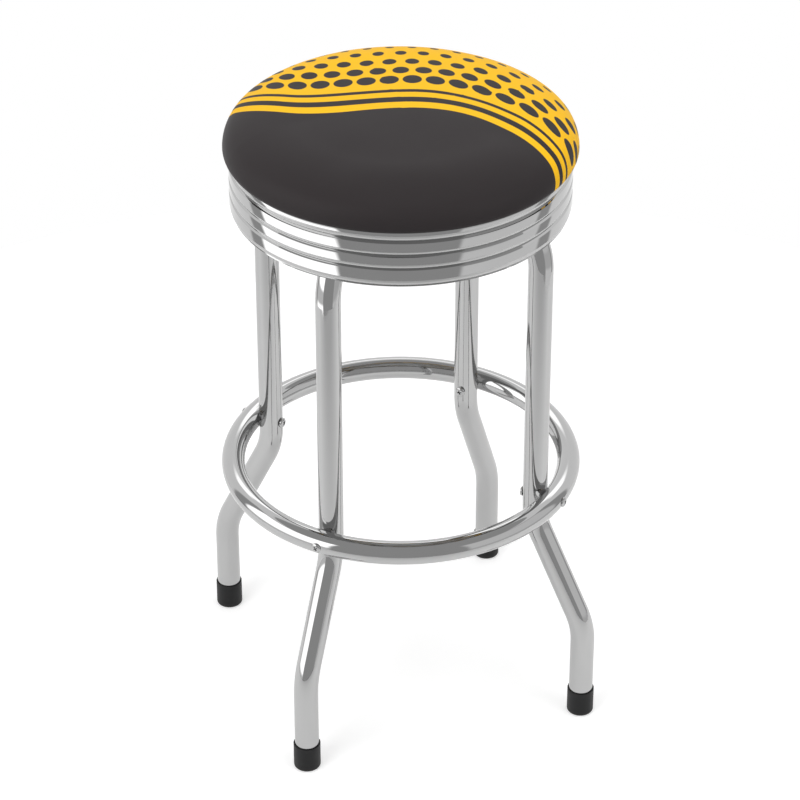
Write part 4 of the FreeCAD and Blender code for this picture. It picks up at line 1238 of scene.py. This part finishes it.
class STOOL_OT_finishes(bpy.types.Operator):
    """Gives the CAD nodes their chrome, zinc, rubber, ball steel and plywood"""

    bl_idname = "stool.finishes"
    bl_label = "Finishes of the frame"

    def execute(self, context):
        legs = [f"leg_{side}" for side in SIDES]
        finish_nodes(make_chrome(), "foot_ring", "rim_band", "ring_nuts", "ring_screws", *legs)
        finish_nodes(make_rubber(), *[f"foot_cap_{side}" for side in SIDES])
        # Bright zinc plate: a bluish grey with a soft, slightly uneven gloss.
        zinc = make_metal("zinc_plated_steel", "#C9CBCB", "#A9ACAE", 0.8 * MM, 0.24, 0.4, 0.08)
        finish_nodes(
            zinc, "swivel_lower_plate", "swivel_upper_plate", "pivot_rivet", "leg_bolts", "leg_nuts",
            "leg_washers", "seat_screws", "tee_nuts", "rim_brackets", "bracket_screws", "ball_cage",
        )
        # Hardened bearing steel under grease: darker and much smoother.
        ball_steel = make_metal("hardened_ball_steel", "#B4B3B0", "#8C8A86", 1.5 * MM, 0.08, 0.16, 0.02)
        finish_nodes(ball_steel, "balls")
        finish_nodes(make_plywood(), "seat_board")
        return {"FINISHED"}


# The studio


def seen_directly(tree):
    """1 for what the camera, a mirror or glass looks at, and 0 for light that falls on things."""
    path = add(tree, "ShaderNodeLightPath").outputs
    mirrored = calculate(tree, "MAXIMUM", path["Is Camera Ray"], path["Is Glossy Ray"])
    return calculate(tree, "MAXIMUM", mirrored, path["Is Transmission Ray"])


def make_floor_material():
    """Matt white studio board. It looks as white as the backdrop, and takes a soft shadow.

    From underneath it is clear, so that the underside of the stool can be looked at.
    """
    material = bpy.data.materials.new("white_studio_board")
    tree = cleared_tree(material)
    place = add(tree, "ShaderNodeTexCoord").outputs["Object"]
    # Faint unevenness of matt paint, in patches about 80 mm wide.
    patches = add(tree, "ShaderNodeTexNoise", {"Vector": place, "Scale": 1 / (80 * MM)}).outputs["Fac"]
    paint = {"Factor": patches, "A": linear("#E9E9E9"), "B": linear("#ECECEC")}
    # Painted shade: the board's colour is made darker towards the front, as if it lay past the softboxes'
    # light, so that the metal mirrors it darker.
    front_shade_ramp = {"Value": photo_axes(tree, place)["Y"], "From Min": -0.25, "From Max": -1.05}
    front = add(tree, "ShaderNodeMapRange", front_shade_ramp).outputs["Result"]
    painted_shade = {
        "Factor": front,
        "A": add(tree, "ShaderNodeMix", paint, data_type="RGBA").outputs["Result"],
        "B": linear("#C8C8C8"),
    }
    colour = add(tree, "ShaderNodeMix", painted_shade, data_type="RGBA").outputs["Result"]
    board = add(tree, "ShaderNodeBsdfDiffuse", {"Color": colour})
    path = add(tree, "ShaderNodeLightPath").outputs
    # Painted reflection: the glow that the metal mirrors is dimmer towards the front, and the camera's own glow
    # is raised there so that the board still looks white.
    fade = calculate(tree, "MULTIPLY_ADD", front, -0.2, 0.3)
    strength = calculate(tree, "MULTIPLY", seen_directly(tree), fade)
    lift = calculate(tree, "MULTIPLY_ADD", front, 0.4, 0.12)
    strength = calculate(tree, "MULTIPLY_ADD", path["Is Camera Ray"], lift, strength)
    glow = add(tree, "ShaderNodeEmission", {"Strength": strength})
    both = add(tree, "ShaderNodeAddShader", {0: board.outputs[0], 1: glow.outputs[0]})
    clear = add(tree, "ShaderNodeBsdfTransparent")
    behind = add(tree, "ShaderNodeNewGeometry").outputs["Backfacing"]
    side = add(tree, "ShaderNodeMixShader", {0: behind, 1: both.outputs[0], 2: clear.outputs[0]})
    add(tree, "ShaderNodeOutputMaterial", {"Surface": side.outputs[0]})
    return material


def disc_mesh(name, radius, place, segments):
    """A flat disc that faces up."""
    shape = bmesh.new()
    bmesh.ops.create_circle(shape, cap_ends=True, radius=radius, segments=segments)
    bmesh.ops.translate(shape, verts=shape.verts, vec=place)
    return plain_mesh(shape, name)


def wall_mesh(name, middle, half, low, high):
    """A curved wall round the axis, about a middle angle from the camera's side, between two heights."""
    shape = bmesh.new()
    rows = []
    for height in (low, high):
        row = []
        for step in range(WALL_STEPS + 1):
            angle = math.radians(-90 + middle + half * (2 * step / WALL_STEPS - 1)) + PHOTO_TURN
            place = (CARD_DISTANCE * math.cos(angle), CARD_DISTANCE * math.sin(angle), height)
            row.append(shape.verts.new(place))
        rows.append(row)
    for step in range(WALL_STEPS):
        shape.faces.new([rows[0][step], rows[0][step + 1], rows[1][step + 1], rows[1][step]])
    return plain_mesh(shape, name)


def card_place(tree, from_back):
    """Degrees round from the camera's side, or from the far side, and the height, on a card."""
    axes = photo_axes(tree, add(tree, "ShaderNodeTexCoord").outputs["Object"])
    away = calculate(tree, "MULTIPLY", axes["Y"], 1.0 if from_back else -1.0)
    angle = calculate(tree, "ARCTAN2", axes["X"], away)
    return calculate(tree, "MULTIPLY", angle, 180 / math.pi), axes["Z"]


def make_painted_wall(name, base, cards=(), from_back=False):
    """Studio paint that the bright metal mirrors: brighter cards, soft at their edges, on an even ground."""
    material = bpy.data.materials.new(name)
    tree = cleared_tree(material)
    degrees, rise = card_place(tree, from_back) if cards else (None, None)
    level = base
    for start, end, low, high, card in cards:
        across = within(tree, degrees, start, end, CARD_FADE)
        inside = calculate(tree, "MULTIPLY", across, within(tree, rise, low, high, CARD_BLUR))
        level = calculate(tree, "MULTIPLY_ADD", inside, card - base, level)
    glow = add(tree, "ShaderNodeEmission", {"Color": WHITE, "Strength": level})
    add(tree, "ShaderNodeOutputMaterial", {"Surface": glow.outputs[0]})
    return material


# The studio wall: its distance and its heights in metres, and its ends in degrees from the camera's side.
CARD_DISTANCE, CARD_LOW, CARD_HIGH = 7.0, -6.5, 6.3
WALL_END, WALL_STEPS = 122, 122

# How bright it is where it has no card, and how softly the cards end, in degrees across and metres upward.
ROOM_GREY, CARD_FADE, CARD_BLUR = 0.45, 2.2, 0.35

# The point that every lamp looks at.
LAMP_TARGET = (0.0, 0.0, 0.45)

# Each card's ends in degrees from the camera's side, right being positive, then its heights and its level.
CARDS = (
    (-103, -42, -0.1, 5.85, 2.4),
    (-103, -42, -2.5, -0.1, 0.9),
    (-103, -42, -8.0, -2.5, 2.3),
    (40, 103, -0.1, 5.85, 0.87),
    (40, 103, -2.5, -0.1, 0.7),
    (40, 103, -8.0, -2.5, 0.95),
    (-130, -117, -8.0, 7.0, 1.0),
    (117, 130, -8.0, 7.0, 1.0),
)

# One more, high on the far side, in degrees from there.
BACK_CARDS = ((-35, 38, 5.3, 6.9, 2.2),)


def aim(obj, target):
    """Turns a lamp or camera so that it looks at a point."""
    obj.rotation_euler = (Vector(target) - obj.location).to_track_quat("-Z", "Y").to_euler()


def add_lamp(name, place, width, power):
    """A square softbox that looks at the middle of the stool and isn't seen itself."""
    lamp = bpy.data.lights.new(name, "AREA")
    lamp.shape = "SQUARE"
    lamp.size = width
    lamp.energy = power
    obj = bpy.data.objects.new(name, lamp)
    bpy.context.scene.collection.objects.link(obj)
    obj.location = place
    aim(obj, LAMP_TARGET)
    obj.visible_camera = False
    obj.visible_glossy = False


def add_camera(sizes):
    """The camera of the photograph."""
    data = bpy.data.cameras.new("photo_camera")
    data.sensor_width = 36
    data.lens = sizes.lens
    data.shift_x = -0.00095
    data.clip_end = 50
    camera = bpy.data.objects.new("photo_camera", data)
    bpy.context.scene.collection.objects.link(camera)
    camera.location = sizes.camera_place
    aim(camera, sizes.camera_aim)
    bpy.context.scene.camera = camera


def make_backdrop(room_level):
    """A world that looks white and gives the room's even light."""
    world = bpy.data.worlds.new("studio_backdrop")
    tree = cleared_tree(world)
    level = calculate(tree, "MAXIMUM", seen_directly(tree), room_level)
    backdrop = add(tree, "ShaderNodeBackground", {"Color": WHITE, "Strength": level})
    add(tree, "ShaderNodeOutputWorld", {"Surface": backdrop.outputs[0]})
    return world


class STOOL_OT_studio(bpy.types.Operator):
    """Sets the floor, the backdrop, the mirrored cards, the lamps and the camera of the photograph"""

    bl_idname = "stool.studio"
    bl_label = "Studio"

    def execute(self, context):
        sizes = context.scene.stool_studio
        toward = Matrix.Rotation(PHOTO_TURN, 4, "Z")
        board = disc_mesh("studio_floor", sizes.floor_radius, (0, 0, -0.3 * MM), 128)
        floor = new_piece("studio_floor", board, make_floor_material())
        # The ceiling is set towards the camera, so that the white backdrop shows over its back edge.
        ceiling = toward @ Vector((0.0, -3.2, 0.0)) + Vector((0, 0, CARD_HIGH))
        wall_paint = make_painted_wall("painted_studio_wall", ROOM_GREY, CARDS)
        back_paint = make_painted_wall("painted_back_card", 1.0, BACK_CARDS, True)
        ceiling_paint = make_painted_wall("grey_ceiling", ROOM_GREY)
        for name, mesh, paint in (
            ("studio_wall", wall_mesh("studio_wall", 0, WALL_END, CARD_LOW, CARD_HIGH), wall_paint),
            ("back_card", wall_mesh("back_card", 180, 45, 4.6, 7.6), back_paint),
            ("grey_ceiling", disc_mesh("grey_ceiling", CARD_DISTANCE, ceiling, 96), ceiling_paint),
        ):
            card = new_piece(name, mesh, paint)
            card.visible_camera = False
            card.visible_diffuse = False
            card.visible_transmission = False
            card.visible_shadow = False
        context.scene.world = make_backdrop(sizes.room_level)
        add_lamp("key_softbox", toward @ Vector((-1.7, -1.9, 2.6)), 1.6, 38)
        add_lamp("fill_softbox", toward @ Vector((2.2, -1.4, 1.8)), 1.6, 18)
        add_lamp("top_softbox", (0.0, 0.2, 3.2), 1.8, 22)
        add_camera(sizes)
        context.scene.view_settings.view_transform = "Standard"
        return {"FINISHED"}


class STOOL_PT_panel(bpy.types.Panel):
    """Lists the steps that dress the stool"""

    bl_idname = "STOOL_PT_panel"
    bl_label = "Swivel stool"
    bl_space_type = "VIEW_3D"
    bl_region_type = "UI"
    bl_category = "Stool"

    def draw(self, context):
        for step in STEPS:
            self.layout.operator(step.bl_idname)


GROUPS = {"stool_seat": StoolSeatSizes, "stool_metal": StoolMetalSizes, "stool_studio": StoolStudioSizes}
STEPS = (
    STOOL_OT_studio, STOOL_OT_finishes, STOOL_OT_cushion, STOOL_OT_band, STOOL_OT_tubes, STOOL_OT_screws,
)
CLASSES = (*GROUPS.values(), *STEPS, STOOL_PT_panel)


def register():
    """Adds the classes and the sizes to Blender."""
    for made in CLASSES:
        bpy.utils.register_class(made)
    for name, group in GROUPS.items():
        setattr(bpy.types.Scene, name, bpy.props.PointerProperty(type=group))


def unregister():
    """Takes the classes and the sizes out of Blender."""
    for name in GROUPS:
        delattr(bpy.types.Scene, name)
    for made in reversed(CLASSES):
        bpy.utils.unregister_class(made)


def main():
    """Runs the steps in order."""
    register()
    bpy.ops.stool.studio()
    bpy.ops.stool.finishes()
    bpy.ops.stool.cushion()
    bpy.ops.stool.band()
    bpy.ops.stool.tubes()
    bpy.ops.stool.screws()


if __name__ == "__main__":
    main()
